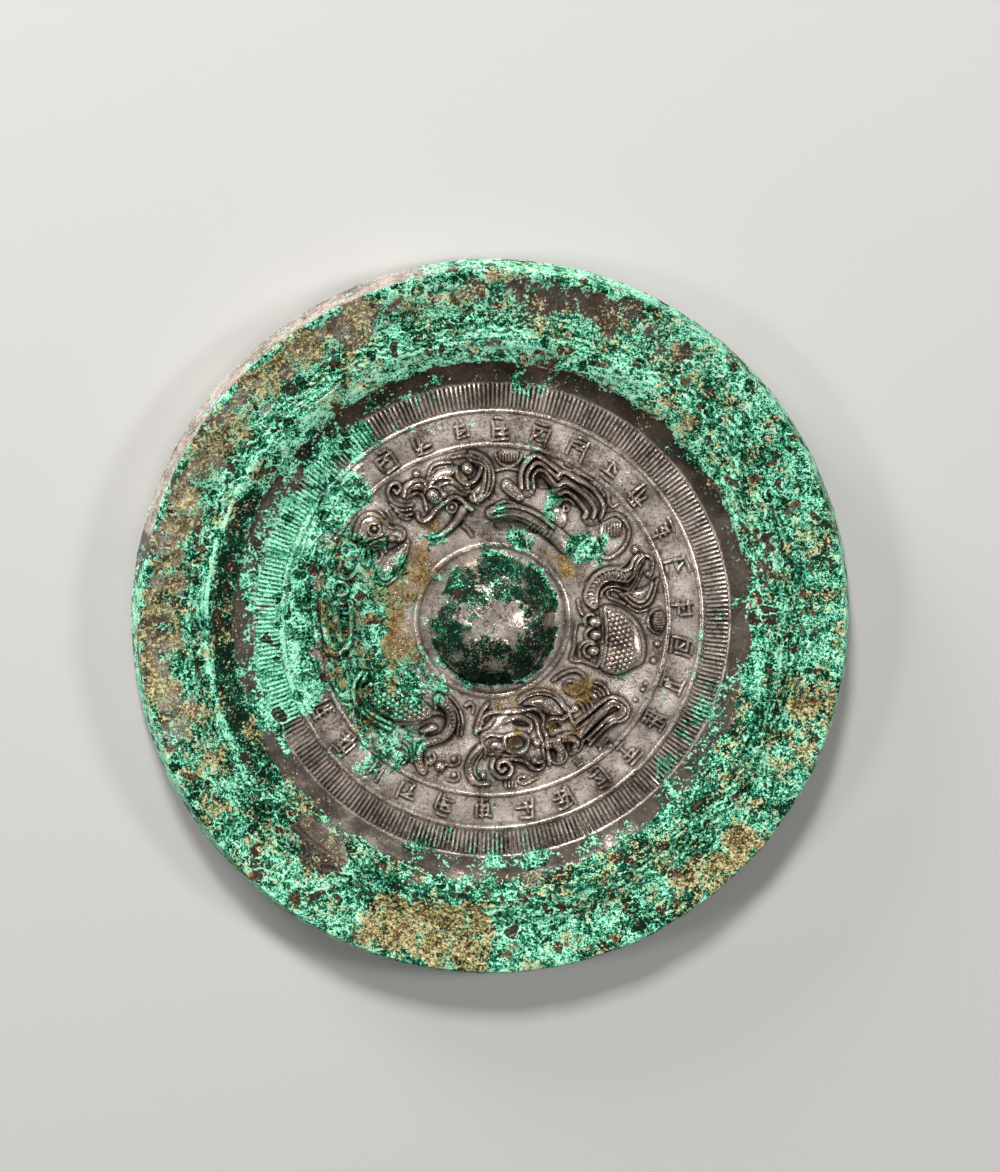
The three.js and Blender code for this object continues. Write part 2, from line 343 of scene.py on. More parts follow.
pillow(
    [(23.3, 4.6), (24.4, 3.5), (25.8, 2.4), (27, 2.2), (28.4, 2.9), (29.2, 4.3), (29.6, 6),
     (29.9, 7.2), (28.6, 6.4), (27.4, 5.6), (25.6, 5.2)],
    0.9, 1.4,
)
strand(
    [(23.2, 4.6), (24.3, 3.6), (25.6, 2.5), (26.8, 2.2), (28.3, 2.9), (29.1, 4.2), (29.5, 5.6),
     (29.9, 7.2)],
    0.27, 0.6,
)
strands(
    0.22, 0.4,
    [(24.2, 4.7), (25.2, 3.9), (26.2, 3.3), (27.2, 3.3), (28, 4), (28.5, 5.2), (28.9, 6.6)],
    [(15.3, -0.8), (14.9, -3), (14.8, -5), (14.3, -7.4), (16.4, -7.7), (19, -8.7)],
)
strand([(24.6, 2.4), (25.6, 1.7), (26.8, 1.4), (28.1, 1.8)], 0.2, 0.4)
strand(
    [(23, 5), (21.8, 5.4), (21, 5.1), (20.8, 4.5), (21.2, 3.9), (22.5, 3.4), (24, 2.8)],
    0.22, 0.5,
)
strand([(24.5, 5.4), (22.5, 6), (20.9, 5.8), (19.9, 5), (19.7, 4.1)], 0.22, 0.45)
for x, y, r in [(18.7, -0.5, 1.1), (18.8, -2.9, 1.0), (18.4, -5.8, 0.95)]:
    dome(x, y, r, r * 0.92, 1.35)
strands(
    0.22, 0.6,
    [(18.3, 0.8), (17.6, 0.9), (16.7, 0.2), (16.9, -1.1)],
    [(18.2, -1.6), (17.6, -1.8), (16.9, -2.8), (17.2, -3.9)],
)
strand([(18.6, -4.6), (17.4, -4.6), (16.6, -5.4), (16.8, -6.6), (17.6, -7)], 0.22, 0.55)
strand([(18.4, -4.1), (16.9, -4.2), (15.8, -5.3), (15.9, -6.9)], 0.2, 0.45)
strand([(15.5, 3.4), (15.9, 1.5), (16.4, 0.8)], 0.25, 0.45)
pillow(
    [(15.2, -1), (19, -1.5), (19.4, -7.8), (16.6, -7.3), (14.8, -7), (15, -4)],
    0.35, 0.9, layer=cut,
)

# The half shells, balls and ticks scattered between the beasts.
dome(30.2, -0.4, 1.15, 2.0, 0.8)
ticks((30.1, -1.9), (30.1, 1.1), 7, 0, length=1.3, half_width=0.16, rise=0.3)
arcs(30.5, -0.4, [2.3], 95, 265, 0.2, 0.35)
dome(2.9, 29.9, 2.0, 1.15, 0.8)
ticks((1.4, 29.6), (4.4, 29.6), 7, 90, length=1.3, half_width=0.16, rise=0.3)
arcs(2.9, 30.2, [2.35], 185, 355, 0.2, 0.35)
for x, y, r in [
    (29.9, -4.6, 0.6), (29.2, -7.6, 0.6), (27.8, -11.8, 0.4), (27.3, -12.9, 0.4),
    (26, -14.8, 0.4), (25.8, 12.6, 0.7), (-9.5, -26.7, 0.9), (-7, -25.3, 0.5), (-7, -28.2, 0.5),
    (-11.3, -25.5, 0.55), (-13.7, 26.6, 0.6), (-5.8, 23.9, 0.45), (21, 13.5, 0.5),
    (18.5, -14, 0.65), (15, -16.3, 0.7),
]:
    dome(x, y, r, r, r * 0.95)
strands(
    0.2, 0.35,
    [(-6, -24.9), (-6.1, -26), (-7, -26.5), (-8.5, -26.3)],
    [(-6.2, -27.8), (-6.1, -28.8), (-7, -29.3), (-8.1, -29)],
    [(-10.8, -24.3), (-10.4, -25.2), (-11.2, -26.2), (-12, -25.8)],
    [(6, -28.6), (4.8, -28.8), (4.7, -29.6), (5.8, -29.9), (7, -29.4), (8.2, -28.8)],
)
strand([(-4.8, -15.6), (-4, -15.2), (-3.4, -15.9), (-3.6, -17)], 0.3, 0.5, 0.15)
strand(
    [(11, -11.1), (13, -9.8), (15, -9.3), (16.4, -10.1), (16.9, -11.5), (16.3, -13), (15, -13.7),
     (13.6, -13.3), (13.1, -12.2), (13.8, -11.2), (14.8, -11.4), (15, -12.1), (14.5, -12.6)],
    0.3, 0.55, 0.2,
)
arcs(18.3, -14.3, [1.3, 2.0, 2.8], 15, 85, 0.24, 0.5)
nested(
    0.24, 0.5, (0, 1, 2),
    [(15.6, -15.2, 0.8, 0.3), (16.3, -15.9, 0.8, 0.3), (16.7, -16.9, 0.8, 0.3)],
)
ticks((20.7, -22.2), (21.5, -22.9), 2, 50)
ticks((15.2, -25.7), (15.9, -26.5), 3, 35, length=0.8)
ticks((2.4, -30), (4.2, -30), 4, 90, length=0.9)
strand([(19, -22.9), (19.6, -23.3), (19.5, -24)], 0.2, 0.3)

# The large head at the lower right: snout and jaw, eye, crescent horns, mane and a feather.
pillow(
    [(-2.2, -21), (-0.8, -18.6), (2, -17), (5.4, -16.8), (8, -17.6), (9.2, -19.6), (9.8, -22.4),
     (9.4, -25.6), (7.4, -26.6), (4.6, -25.6), (1.6, -24.8), (-1.4, -24.4)],
    1.2, 2.6,
)
pillow(
    [(5.4, -15.4), (7, -14.2), (9, -13.9), (10.9, -14.6), (12.1, -15.8), (12.7, -17.2),
     (10.8, -17.4), (8.6, -16.5), (7.2, -15.7)],
    1.4, 1.4,
)
nested(
    0.24, 0.6, (0, 0.6),
    [(4.7, -14.6, 0, -1), (6.2, -13.5, 0, -1), (8.3, -12.9, 0, -1), (10.5, -13.2, 0, -1),
     (12, -14.3, 0, -1), (13, -15.7, 0, -1), (13.8, -16.8, 1, 0)],
)
strand(
    [(-2.4, -19.8), (-1.6, -17.6), (0.2, -16.8), (2, -16.8), (3.6, -16.6), (5.5, -16.5),
     (7.5, -16.2), (8.8, -17), (9.3, -18.3), (9.2, -19.6), (9.8, -21.2), (9.9, -22.5), (10, -24.5),
     (10.3, -26.4)],
    0.32, 0.7,
)
strand(
    [(6.4, -17.2), (7.6, -18), (8.1, -19.2), (8.3, -20.5), (8.9, -22), (9.2, -24), (9.6, -25.5)],
    0.28, 0.5,
)
strand([(2, -18.4), (4.5, -17.6), (6.5, -18.3), (7, -19.4), (6.6, -20.2)], 0.28, 0.55)
dome(5, -18.9, 1.7, 0.7, 0.8, -10, layer=cut)
dome(4.2, -22.3, 1.9, 1.35, 0.9, -8, layer=cut)
strand(
    [(2.1, -21.4), (3.2, -20.8), (5, -20.6), (6.2, -21.2), (6.4, -22.4), (5.6, -23.7),
     (3.8, -24.1), (2.4, -23.2)],
    0.3, 0.7, closed=True,
)
dome(8, -22.3, 0.8, 0.8, 0.9, layer=bead)
dome(7.6, -25.6, 0.6, 0.6, 0.6, layer=bead)
strand(
    [(2, -25.3), (4, -25.4), (6, -25.9), (7, -26.9), (8, -27.3), (9, -26.9), (9.2, -26),
     (8.2, -25.9)],
    0.32, 0.8,
)
strand([(2, -24.7), (4, -24.6), (5.5, -24.1), (6.2, -23.2)], 0.26, 0.5)
strand(
    [(0.2, -25.4), (-0.1, -26.8), (0.5, -28.2), (1.8, -28.8), (3.1, -28.2), (3.5, -26.9),
     (2.6, -25.8), (1.4, -25.9), (1, -26.8), (1.6, -27.6), (2.3, -27.1)],
    0.34, 0.95,
)
limb(
    [(9.9, -22.6), (11.4, -22.7), (12.4, -23.9), (12.2, -25.4)],
    1.05, 1.5, 0.7, pitch=0.55, rib=0.32,
)
limb(
    [(12.2, -21.8), (13.8, -21.7), (15.3, -22.3), (14.8, -23.6)],
    0.8, 1.3, 0.6, pitch=0.55, rib=0.3,
)
strands(
    0.24, 0.5,
    [(9.9, -22.1), (11.6, -21.9), (12.9, -23.2), (13.4, -25), (12.4, -26.2), (10.7, -25.9),
     (10.3, -24.4)],
    [(11.9, -21.3), (13.5, -20.8), (15.4, -21), (16.3, -22.4), (15.7, -23.7), (14.2, -24.6)],
    [(-1.6, -21.6), (-0.6, -20.8), (0.8, -21), (2.2, -21.1)],
    [(-1.8, -22.6), (-1.3, -23.6), (-1.4, -25)],
)
strand([(9.9, -19.6), (10.1, -18.4), (11.2, -17.9), (12.5, -18.2), (13.5, -17.7)], 0.3, 0.75)
dome(11.4, -19.5, 1.1, 0.7, 0.5, 10, layer=cut)
strand([(13.6, -16.2), (14.2, -18), (14.9, -19.4)], 0.28, 0.6)
limb(
    [(16, -21), (18.2, -18.7), (20, -16.9), (21.8, -15), (23.3, -15.3), (23.9, -16.8), (22.4, -18),
     (20.2, -19.3), (17.6, -21.8)],
    0.75, 1.0, 0.6,
)
strand(
    [(14.8, -19.1), (17.5, -17), (19.5, -15.3), (21.5, -14.2), (23.2, -14.5), (24.6, -16),
     (24.5, -17.6), (23.2, -18.6), (21.8, -18.9), (20, -20.3), (17.6, -22.8)],
    0.26, 0.75,
)
strand(
    [(16.6, -20.6), (18.6, -18.2), (20.4, -16.3), (22, -15.7), (23.1, -16.2), (23.1, -17),
     (22, -17.4), (20.6, -18.2), (18.6, -20.2), (16.4, -22.2)],
    0.24, 0.7,
)
strand([(15.6, -20), (17.6, -18.2), (19.6, -16.4)], 0.2, 0.35)
strand([(-3, -20.6), (-2.6, -18.6), (-1.8, -16.6), (-0.8, -15.2)], 0.3, 0.7)
strand([(-2.7, -20.2), (-1.4, -19.6), (-0.4, -18.8), (0.3, -17.8)], 0.26, 0.6)
dome(-1.8, -18.9, 0.5, 0.45, 0.5, layer=bead)
dome(-1.0, -17.1, 0.5, 0.45, 0.5, layer=bead)
ticks((0.3, -16.5), (2.0, -16.3), 4, 90, length=0.6)
pillow(
    [(-0.4, -22.6), (0.6, -22), (2, -22.6), (2.4, -23.5), (1, -24.1), (-0.2, -23.7)],
    0.5, 0.6, layer=bead,
)
limb(
    [(-2.2, -23.3), (-3.3, -24.6), (-4.1, -26.4), (-4, -28), (-3.2, -29.5), (-2, -29.9),
     (-0.8, -29.8)],
    0.7, 1.1, 0.45,
)
strand([(-2.7, -23.4), (-3.9, -24.7), (-4.7, -26.4), (-4.6, -28.2), (-3.7, -29.8)], 0.22, 0.5)
strand([(-1.7, -24), (-2.7, -25.4), (-3.3, -26.8), (-3.2, -28), (-2.5, -29)], 0.22, 0.45)
dome(-1.7, -28.3, 0.6, 0.6, 0.7)

# The beast at the lower left: a scaled body whose ribbed neck curls over and under.
left_body = [
    (-22.4, -11), (-19.6, -11.2), (-17, -12.1), (-14, -13.9), (-11.2, -16), (-11, -17.4),
    (-13.6, -18.3), (-17, -18.2), (-20.2, -16.9), (-22.4, -14),
]
pillow(left_body, 1.9, 3.0)
scales(left_body, 0.95, 0.9, -35, 0.4)
nested(
    0.35, 0.8, (0, 1.1),
    [(-23.8, -9.4, 1, 0), (-25.1, -12, 1, 0), (-24.6, -15, 1, 0), (-22.1, -17.8, 0.6, 0.5),
     (-18.5, -19.7, 0, 1)],
)
pillow(
    [(-17, -19.2), (-13.6, -18.7), (-10.4, -17.2), (-8.4, -17.8), (-8, -19.6), (-9, -21),
     (-10.8, -21.4), (-14, -21)],
    0.55, 0.9, layer=cut,
)
pillow(
    [(-13.4, -20.2), (-12, -19.4), (-11, -18.9), (-10, -19.4), (-10.1, -20), (-12, -20.5)],
    0.9, 0.6, layer=bead,
)
nested(
    0.2, 0.5, (0, 0.7),
    [(-8.4, -13.9, 1, 0), (-6.8, -16, 1, 0), (-6.1, -18.5, 1, 0), (-6.4, -20.9, 1, 0)],
)
limb(
    [(-9.7, -14.3), (-8, -15.9), (-7.4, -18), (-7.7, -19.8), (-8.9, -21.2), (-10.6, -21.9),
     (-12.3, -22.5), (-13.1, -23.6), (-13.3, -25), (-13, -26.3), (-12.5, -27.5)],
    1.0, 1.5, 0.5, pitch=0.7, rib=0.32,
)
strands(
    0.24, 0.5,
    [(-14.1, -22.3), (-14.2, -24.5), (-13.6, -26.6), (-12.7, -27.9), (-12, -26.9), (-12.2, -25.2)],
    [(-10.2, -15.9), (-10.3, -14.8), (-9.6, -14.5), (-9.2, -15.3)],
)
strand([(-13.5, -14.2), (-12.4, -15), (-11.2, -16.2)], 0.2, 0.5)
strands(
    0.22, 0.45,
    [(-17.3, -22.9), (-16.2, -22.9), (-15.4, -24), (-15.5, -25.3), (-16.2, -26)],
    [(-16, -22), (-15, -23), (-14.6, -24.4), (-14.6, -25.6)],
)

# The limbs at the left, half lost under corrosion.
limb([(-32, 6), (-32.1, 0), (-31.4, -4.4)], 0.5, 0.7)
limb([(-30.4, 4.6), (-30.5, 0), (-29.8, -3.4), (-28.6, -5.2)], 0.7, 1.2)
limb([(-28.3, 3.2), (-28.2, -0.6), (-27.4, -3.4)], 0.6, 1.1)
strand(
    [(-25.6, 3.4), (-25.5, 0), (-25.7, -3.4), (-26.8, -5.2), (-28.3, -5.9), (-29.8, -5.4)],
    0.4, 1.1,
)
strand([(-27.4, 10.4), (-27.9, 9), (-27, 7.9), (-25.8, 7.9), (-25.1, 8.6)], 0.32, 0.8)
dome(-25.9, 10, 1.0, 0.9, 1.1)
strand(
    [(-28.5, 6.8), (-28.6, 5.4), (-27.4, 4.7), (-26.2, 5.4), (-26.4, 6.7), (-27.4, 7.2)],
    0.3, 0.7, closed=True,
)
ticks((-26.6, 3.2), (-26.6, 1.4), 3, 0, length=1.4)
dome(-29.2, -9.5, 1.0, 2.0, 0.9, 10)
limb([(-25.2, -7), (-24.8, -9)], 0.5, 0.7)
strands(0.25, 0.4, [(-28.8, -11.4), (-28, -12.8)], [(-27.9, -11), (-27.2, -12.4)])

# The small mask with a hanging tongue at the upper left.
pillow(
    [(-24.9, 15), (-24.6, 17), (-23.5, 18.9), (-21.8, 19.5), (-20.4, 18.9), (-19.4, 17.8),
     (-18.2, 17.1), (-16.9, 16.8), (-16, 16.1), (-16, 14.8), (-17.6, 14.4), (-20, 14.4),
     (-22.6, 14)],
    1.5, 1.6,
)
strand(
    [(-25, 14.8), (-24.6, 17), (-23.5, 18.9), (-21.8, 19.5), (-20.4, 18.9), (-19.4, 17.8),
     (-18.2, 17), (-17, 16.9), (-16, 16.2), (-15.9, 15.2), (-16.4, 14.4)],
    0.26, 0.5,
)
arcs(-21.4, 16.8, [1.15], 0, 360, 0.26, 0.5)
dome(-21.3, 17, 0.45, 0.45, 0.55, layer=bead)
strand([(-24, 14.1), (-22.6, 14.8), (-20.6, 15.5), (-20, 16)], 0.24, 0.5)
dome(-18.2, 14.9, 0.75, 0.7, 0.8, layer=bead)
dome(-16.8, 14.6, 0.6, 0.55, 0.6, layer=bead)
strand(
    [(-19.4, 14.9), (-21, 14.6), (-22.2, 13.8), (-22.4, 12.4), (-22.1, 11), (-22.6, 10.2),
     (-23.3, 10.6), (-23.4, 11.8), (-23, 13.2)],
    0.32, 0.9,
)
strand([(-21.6, 13.8), (-20, 13.8), (-19.2, 12.6)], 0.3, 0.7)
dome(-20.8, 12, 0.8, 1.1, 0.5, layer=cut)
tongue = [
    (-15.2, 14.4), (-15.6, 12), (-16.8, 9.6), (-18.4, 7.9), (-19.6, 7.5), (-20.5, 8.4),
    (-20.2, 10), (-19, 11.8), (-17.6, 13), (-16.4, 13.9),
]
pillow(tongue, 1.1, 1.5)
strand(tongue, 0.24, 0.4, closed=True)
strand([(-21, 7.2), (-19.2, 6.7), (-17.2, 8.2), (-15.8, 10)], 0.24, 0.45)
strands(
    0.2, 0.35,
    [(-20.4, 19.9), (-19.9, 19.4), (-19.5, 18.8)],
    [(-19, 19.8), (-18.6, 19.2), (-18.2, 18.5)],
)

# The upper dragon's head: a crest, an eye, an open jaw with a beard, and a curled crescent.
pillow(
    [(-12.2, 25.2), (-10.4, 27.4), (-7.4, 28.2), (-5.2, 26.6), (-4, 24.6), (-4.4, 22.6),
     (-7.4, 22.4), (-9.6, 21.2), (-11.4, 21.6), (-12.4, 23.2)],
    1.3, 2.2,
)
dome(-4.5, 27.5, 1.1, 1.05, 1.3, layer=bead)
strand([(-6.6, 27.6), (-6.3, 26), (-5.3, 25), (-4, 24.9), (-2.6, 26), (-2, 28)], 0.3, 0.9)
nested(
    0.3, 0.85, (0, 0.75, 1.5),
    [(-3.9, 30.5, 0, -0.9), (-2.2, 29.9, 0, -0.9), (-0.6, 28.5, -0.5, -0.5), (0.1, 26.4, -1, 0),
     (-0.1, 24.4, -1, 0), (-0.9, 22.8, -0.8, 0), (-2.4, 21.8, -0.6, 0)],
)
limb([(-3.4, 29.6), (-1.6, 28.4), (-0.9, 26.4), (-1.2, 24.2), (-3, 22.4)], 1.3, 1.0)
strand([(-7.3, 29.4), (-6, 29.7), (-4.6, 29.8)], 0.2, 0.35)
strands(
    0.24, 0.5,
    [(-11.5, 26.5), (-10.8, 27.9), (-9.5, 28.5), (-7.6, 28.6)],
    [(-9.6, 24.6), (-8, 25.2), (-6.6, 24.7), (-5.6, 23.9)],
)
strand([(-10.9, 26.9), (-9.9, 27.7), (-8.3, 28)], 0.2, 0.4)
pillow(
    [(-11.5, 25.5), (-9.5, 27.4), (-7, 27.7), (-7, 26.6), (-9, 26.1), (-11, 25.1)],
    0.6, 0.6, layer=bead,
)
strand([(-11.4, 24.8), (-9.8, 26), (-8, 26), (-6.9, 25.2), (-5.8, 24.4)], 0.26, 0.6)
dome(-10.8, 22.9, 1.1, 1.05, 0.9, layer=bead)
arcs(-10.8, 22.9, [1.6], 20, 170, 0.24, 0.5)
dome(-8.8, 22.9, 0.6, 0.55, 0.6, layer=bead)
strand(
    [(-13.6, 19.4), (-13.3, 18.5), (-12.3, 18.1), (-11.2, 18.8), (-10.3, 20), (-9.2, 21),
     (-7.8, 22), (-6.8, 22.4), (-5.6, 21.9), (-4.6, 20.7), (-3.8, 20.1)],
    0.36, 1.0,
)
dome(-7.3, 20.5, 0.45, 0.45, 0.5)
arcs(-7.3, 20.5, [0.95], 0, 360, 0.2, 0.4)
limb([(-5.3, 20), (-6.2, 18.4), (-7.5, 16.9), (-9, 15.7), (-10.6, 15.1)], 0.85, 1.2, 0.3)
limb([(-15.8, 23), (-15.2, 24.2), (-13.6, 24.6), (-12.2, 24.2)], 0.9, 1.0)
strand(
    [(-18.3, 21.8), (-18.8, 23.4), (-18.2, 24.7), (-17.1, 24.9), (-16.6, 24), (-17.2, 23.1),
     (-17.8, 23.7)],
    0.28, 0.7,
)
strands(
    0.27, 0.65,
    [(-18.6, 22.6), (-17.8, 21.4), (-16.2, 20.8), (-14.4, 21)],
    [(-18.2, 21), (-16.6, 20.1), (-14.8, 20.3)],
    [(-17.4, 20), (-16, 19.2), (-14.6, 19.3)],
    [(-16.7, 19), (-15.8, 18.6), (-14.9, 18.5)],
    [(-16, 22.6), (-15.5, 24.4), (-14, 25.4), (-12.4, 25.3), (-11.8, 24)],
    [(-15.3, 22.3), (-14, 23.1), (-12.7, 22.8), (-12.1, 21.3), (-11.9, 20)],
)
strand([(-5.2, 23.4), (-3.6, 23.3), (-3.3, 22.2), (-2.6, 21.1)], 0.26, 0.5)
strand([(-5.2, 17), (-4.4, 16.4), (-3.8, 15.4)], 0.3, 0.4)

# The dragon's body at the top right, folded in two peaks of parallel strands.
nested(
    0.34, 1.1, (0, 1, 2),
    [(5.2, 24, 1.1, 0), (5.1, 26.4, 1.1, -0.1), (5.8, 28.3, 1.1, -0.6), (7.4, 29.7, 0.5, -1.2),
     (8.7, 29.5, 0.3, -1.2), (10.2, 28.4, 0.1, -1.3), (12.3, 26.8, -0.5, -1.1)],
)
limb([(6.2, 23.8), (6.3, 26.2), (7.2, 27.8), (8.6, 28), (10.2, 26.9), (11.4, 25.6)], 1.5, 0.8)
pillow(
    [(7.8, 25), (8.2, 26), (9, 25.9), (10, 25), (10.9, 23.8), (9.4, 23.4), (8, 23.8)],
    0.5, 0.8, layer=cut,
)
nested(
    0.34, 1.1, (0, 1, 2),
    [(11.4, 26.2, 0.4, -1.7), (13, 26.7, 0.1, -1.7), (15.3, 25.5, -0.4, -1.5),
     (17.8, 23.9, -0.9, -1.5), (19.5, 21.9, -1.3, -1.1), (20.1, 20.2, -1.6, -0.5),
     (19.6, 18.6, -1.5, 0)],
)
limb([(12, 24.2), (13.6, 24.5), (15.4, 23.4), (17.4, 21.6), (18.5, 20), (17.8, 18.6)], 1.6, 0.8)
strand([(11.8, 20.8), (12.6, 21.8), (13.8, 21.9), (14.8, 21)], 0.26, 0.55)
arcs(13.3, 20.2, [0.5], 0, 360, 0.2, 0.4)
pillow([(10, 17.4), (10, 19.6), (12, 20.4), (13.4, 19), (13.2, 17.2), (11.6, 16.6)], 0.7, 1.2)
limb(
    [(0, 19.4), (2.2, 19.7), (4.4, 19.5), (6.8, 18.6), (9, 17.3), (11, 15.8), (13.4, 13.4)],
    1.2, 1.5, 1.5,
)
strand([(-0.4, 19.8), (2, 20.7), (4.4, 20.7), (6.8, 19.9), (9, 18.6), (11, 16.9)], 0.28, 0.9)
strand([(0.2, 18.9), (2.4, 19.3), (4.4, 19.2), (6.6, 18.4), (8.6, 17.2)], 0.24, 0.6)
ticks((6.8, 17.4), (10.2, 15.6), 6, 60, length=1.3, half_width=0.22, rise=0.4)
pillow([(0.4, 17.8), (4.4, 18), (8, 16.6), (9, 15.6), (4, 15.9), (0.6, 16.4)], 0.4, 0.8, layer=cut)
strand([(0, 20.3), (1.2, 21.1), (2.5, 21.5), (4, 21)], 0.26, 0.6)
limb([(2.6, 24.4), (3.6, 23.4), (4.8, 22.6)], 1.1, 1.0)
strand([(0.6, 27.1), (2.8, 27.5), (5, 27.1)], 0.22, 0.4)
shell = [
    (19.8, 18.2), (22, 19.1), (24, 17.8), (24.7, 15.4), (23.7, 13), (21.5, 11.4), (20.1, 12.4),
    (19.4, 15),
]
pillow(shell, 0.6, 1.2)
strand(
    [(19.6, 18.2), (22, 19.1), (24, 17.8), (24.7, 15.4), (23.7, 13), (21.6, 11.3), (20, 11.2)],
    0.3, 0.6,
)
dome(22, 16.4, 1.5, 1.6, 1.3)
ticks((20.9, 16.4), (23.1, 16.4), 5, 90, length=2.2, half_width=0.18, rise=0.25)
strands(
    0.2, 0.35,
    [(12.7, 27.7), (13.4, 27.3), (14.1, 27)],
    [(13.3, 28.3), (13.8, 28.1), (14.3, 27.8)],
    [(16.2, 26.4), (17, 25.9), (18, 25.4)],
    [(19.5, 23.5), (19.9, 22.9), (20.2, 22.3)],
    [(21, 22.3), (21.1, 20.9), (21.8, 20.4), (22.6, 20.8)],
)

# The band of signs: rows of shallow upright and level strokes that spell nothing.
SIGN_COUNT, SIGN_R = 30, 34.7
SIGN_HALF = np.array([1.75, 2.1])  # half a sign's width and height
sign_rng = np.random.default_rng(11)
for sign in range(SIGN_COUNT):
    middle = math.radians(360 * (sign + 0.3) / SIGN_COUNT)
    outward = np.array([math.cos(middle), math.sin(middle)])
    sideways = np.array([math.sin(middle), -math.cos(middle)])
    upright = sign_rng.permutation([-1.4, -0.5, 0.5, 1.4])[: sign_rng.integers(1, 4)]
    level = sign_rng.permutation([-1.9, -0.95, 0, 0.95, 1.9])[: sign_rng.integers(2, 5)]
    strokes = [(a, sign_rng.uniform(-0.5, 0.5), 90, sign_rng.uniform(0.9, 2.0)) for a in upright]
    strokes += [(sign_rng.uniform(-0.4, 0.4), u, 0, sign_rng.uniform(0.6, 1.5)) for u in level]
    slanted = sign_rng.uniform(-0.6, 0.6), sign_rng.uniform(-0.8, 0.8), sign_rng.choice([40, -40])
    strokes.append((*slanted, 0.8))
    for across, up, lean, reach in strokes:
        lean = math.radians(lean + sign_rng.uniform(-9, 9))
        reach_by = reach * np.array([math.cos(lean), math.sin(lean)])
        ends = np.array([across, up]) + np.outer([-1, 0, 1], reach_by)
        ends = np.clip(ends, -SIGN_HALF, SIGN_HALF)
        ends[1] += sign_rng.uniform(-0.15, 0.15, 2)
        stroke = outward * SIGN_R + np.outer(ends[:, 1], outward) + np.outer(ends[:, 0], sideways)
        strand(stroke, 0.22, 0.34)


def soften(heights, radius):
    """The heights averaged with their neighbours by a bell curve, along rows and then columns."""
    count = int(3 * radius / MAP_STEP)
    bell = np.exp(-0.5 * (np.arange(-count, count + 1) * MAP_STEP / radius) ** 2)
    bell /= bell.sum()
    padded = np.pad(heights, count, mode="edge")
    rows = sum(w * padded[:, k : k + heights.shape[1]] for k, w in enumerate(bell))
    return sum(w * rows[k : k + heights.shape[0]] for k, w in enumerate(bell))


# The worked surface; a map of painted shade from 0 to 1 in its hollows, and of painted highlight,
# partly wear, as values below 0 on its crests.
relief = soften(1.1 * body + 1.3 * bead - 1.3 * cut, 0.05)
relief = relief + 0.6 * (relief - soften(relief, 0.35))
shade_and_highlight_map = np.clip((soften(relief, 0.8) - relief - 0.12) / 0.6, 0, 0.55)
shade_and_highlight_map = np.maximum(shade_and_highlight_map, np.clip((soften(relief, 0.25) - relief - 0.01) / 0.09, 0, 1))
crest_map = np.clip((relief - soften(relief, 0.8) - 0.05) / 0.35, 0, 1)
shade_and_highlight_map = soften(shade_and_highlight_map, 0.06) - crest_map * (1 - shade_and_highlight_map)


def look_up(table, x, y):
    """The value of a map at any place, blended from its four nearest cells."""
    u = np.clip((x + MAP_HALF) / MAP_STEP, 0, len(map_axis) - 1.001)
    v = np.clip((y + MAP_HALF) / MAP_STEP, 0, len(map_axis) - 1.001)
    i, j = u.astype(int), v.astype(int)
    a, b = u - i, v - j
    top = table[j, i] * (1 - a) + table[j, i + 1] * a
    bottom = table[j + 1, i] * (1 - a) + table[j + 1, i + 1] * a
    return top * (1 - b) + bottom * b


# The comb band and the zigzag band. They are cut into the mould as fine radial teeth, and
# as a row of saw teeth with a wavy line outside it.

COMB_TEETH, COMB_RISE = 320, 0.42
ZIGZAG_WAVES, ZIGZAG_R, WAVY_R, ZIGZAG_RISE = 95, 52.85, 54.3, 0.5


def comb_wave(angle):
    """The teeth's section: a cosine of the angle, squared up so that the grooves are narrow."""
    wave = np.cos(COMB_TEETH * angle)
    return smoothstep(-0.75, 0.55, wave)


def comb_band(r):
    """1 in the comb band, falling to 0 over 0.3 mm at its edges."""
    outside_inner = smoothstep(COMB_INNER, COMB_INNER + 0.3, r)
    return outside_inner * smoothstep(COMB_OUTER, COMB_OUTER - 0.3, r)


def zigzag(r, angle):
    """Two round beads: one follows a triangle wave, the other a sine, ZIGZAG_WAVES times round."""
    turns = ZIGZAG_WAVES * angle / (2 * math.pi)
    triangle = 4 * np.abs(turns - np.floor(turns) - 0.5) - 1
    inner = half_round((r - ZIGZAG_R - 0.5 * triangle) * 0.85, 0.3)
    outer = half_round((r - WAVY_R - 0.45 * np.cos(2 * math.pi * turns)) * 0.85, 0.3)
    return ZIGZAG_RISE * np.maximum(inner, outer)


# ---------------------------------------------------------------------------
# Corrosion. Green malachite has grown over the rim and the left of the disc, tan soil has
# set in the hollows, and red copper oxide shows where the crust has broken off.


def mottle(x, y, size, seed, octaves=4, rough=0.55):
    """Cloudy noise between 0 and 1: random numbers on a square lattice, blended smoothly,
    summed over octaves that each halve the lattice and shrink by rough."""
    side = 97
    table = np.random.default_rng(seed).random((side, side))
    total, weight, share = 0, 0, 1.0
    for octave in range(octaves):
        u, v = x / size + 13.7 * octave, y / size + 7.3 * octave
        i, j = np.floor(u).astype(int), np.floor(v).astype(int)
        a, b = u - i, v - j
        a, b = a * a * (3 - 2 * a), b * b * (3 - 2 * b)
        i0, j0, i1, j1 = i % side, j % side, (i + 1) % side, (j + 1) % side
        low_side = table[j0, i0] * (1 - a) + table[j0, i1] * a
        high_side = table[j1, i0] * (1 - a) + table[j1, i1] * a
        total = total + share * (low_side * (1 - b) + high_side * b)
        weight += share
        share *= rough
        size /= 2
    return total / weight


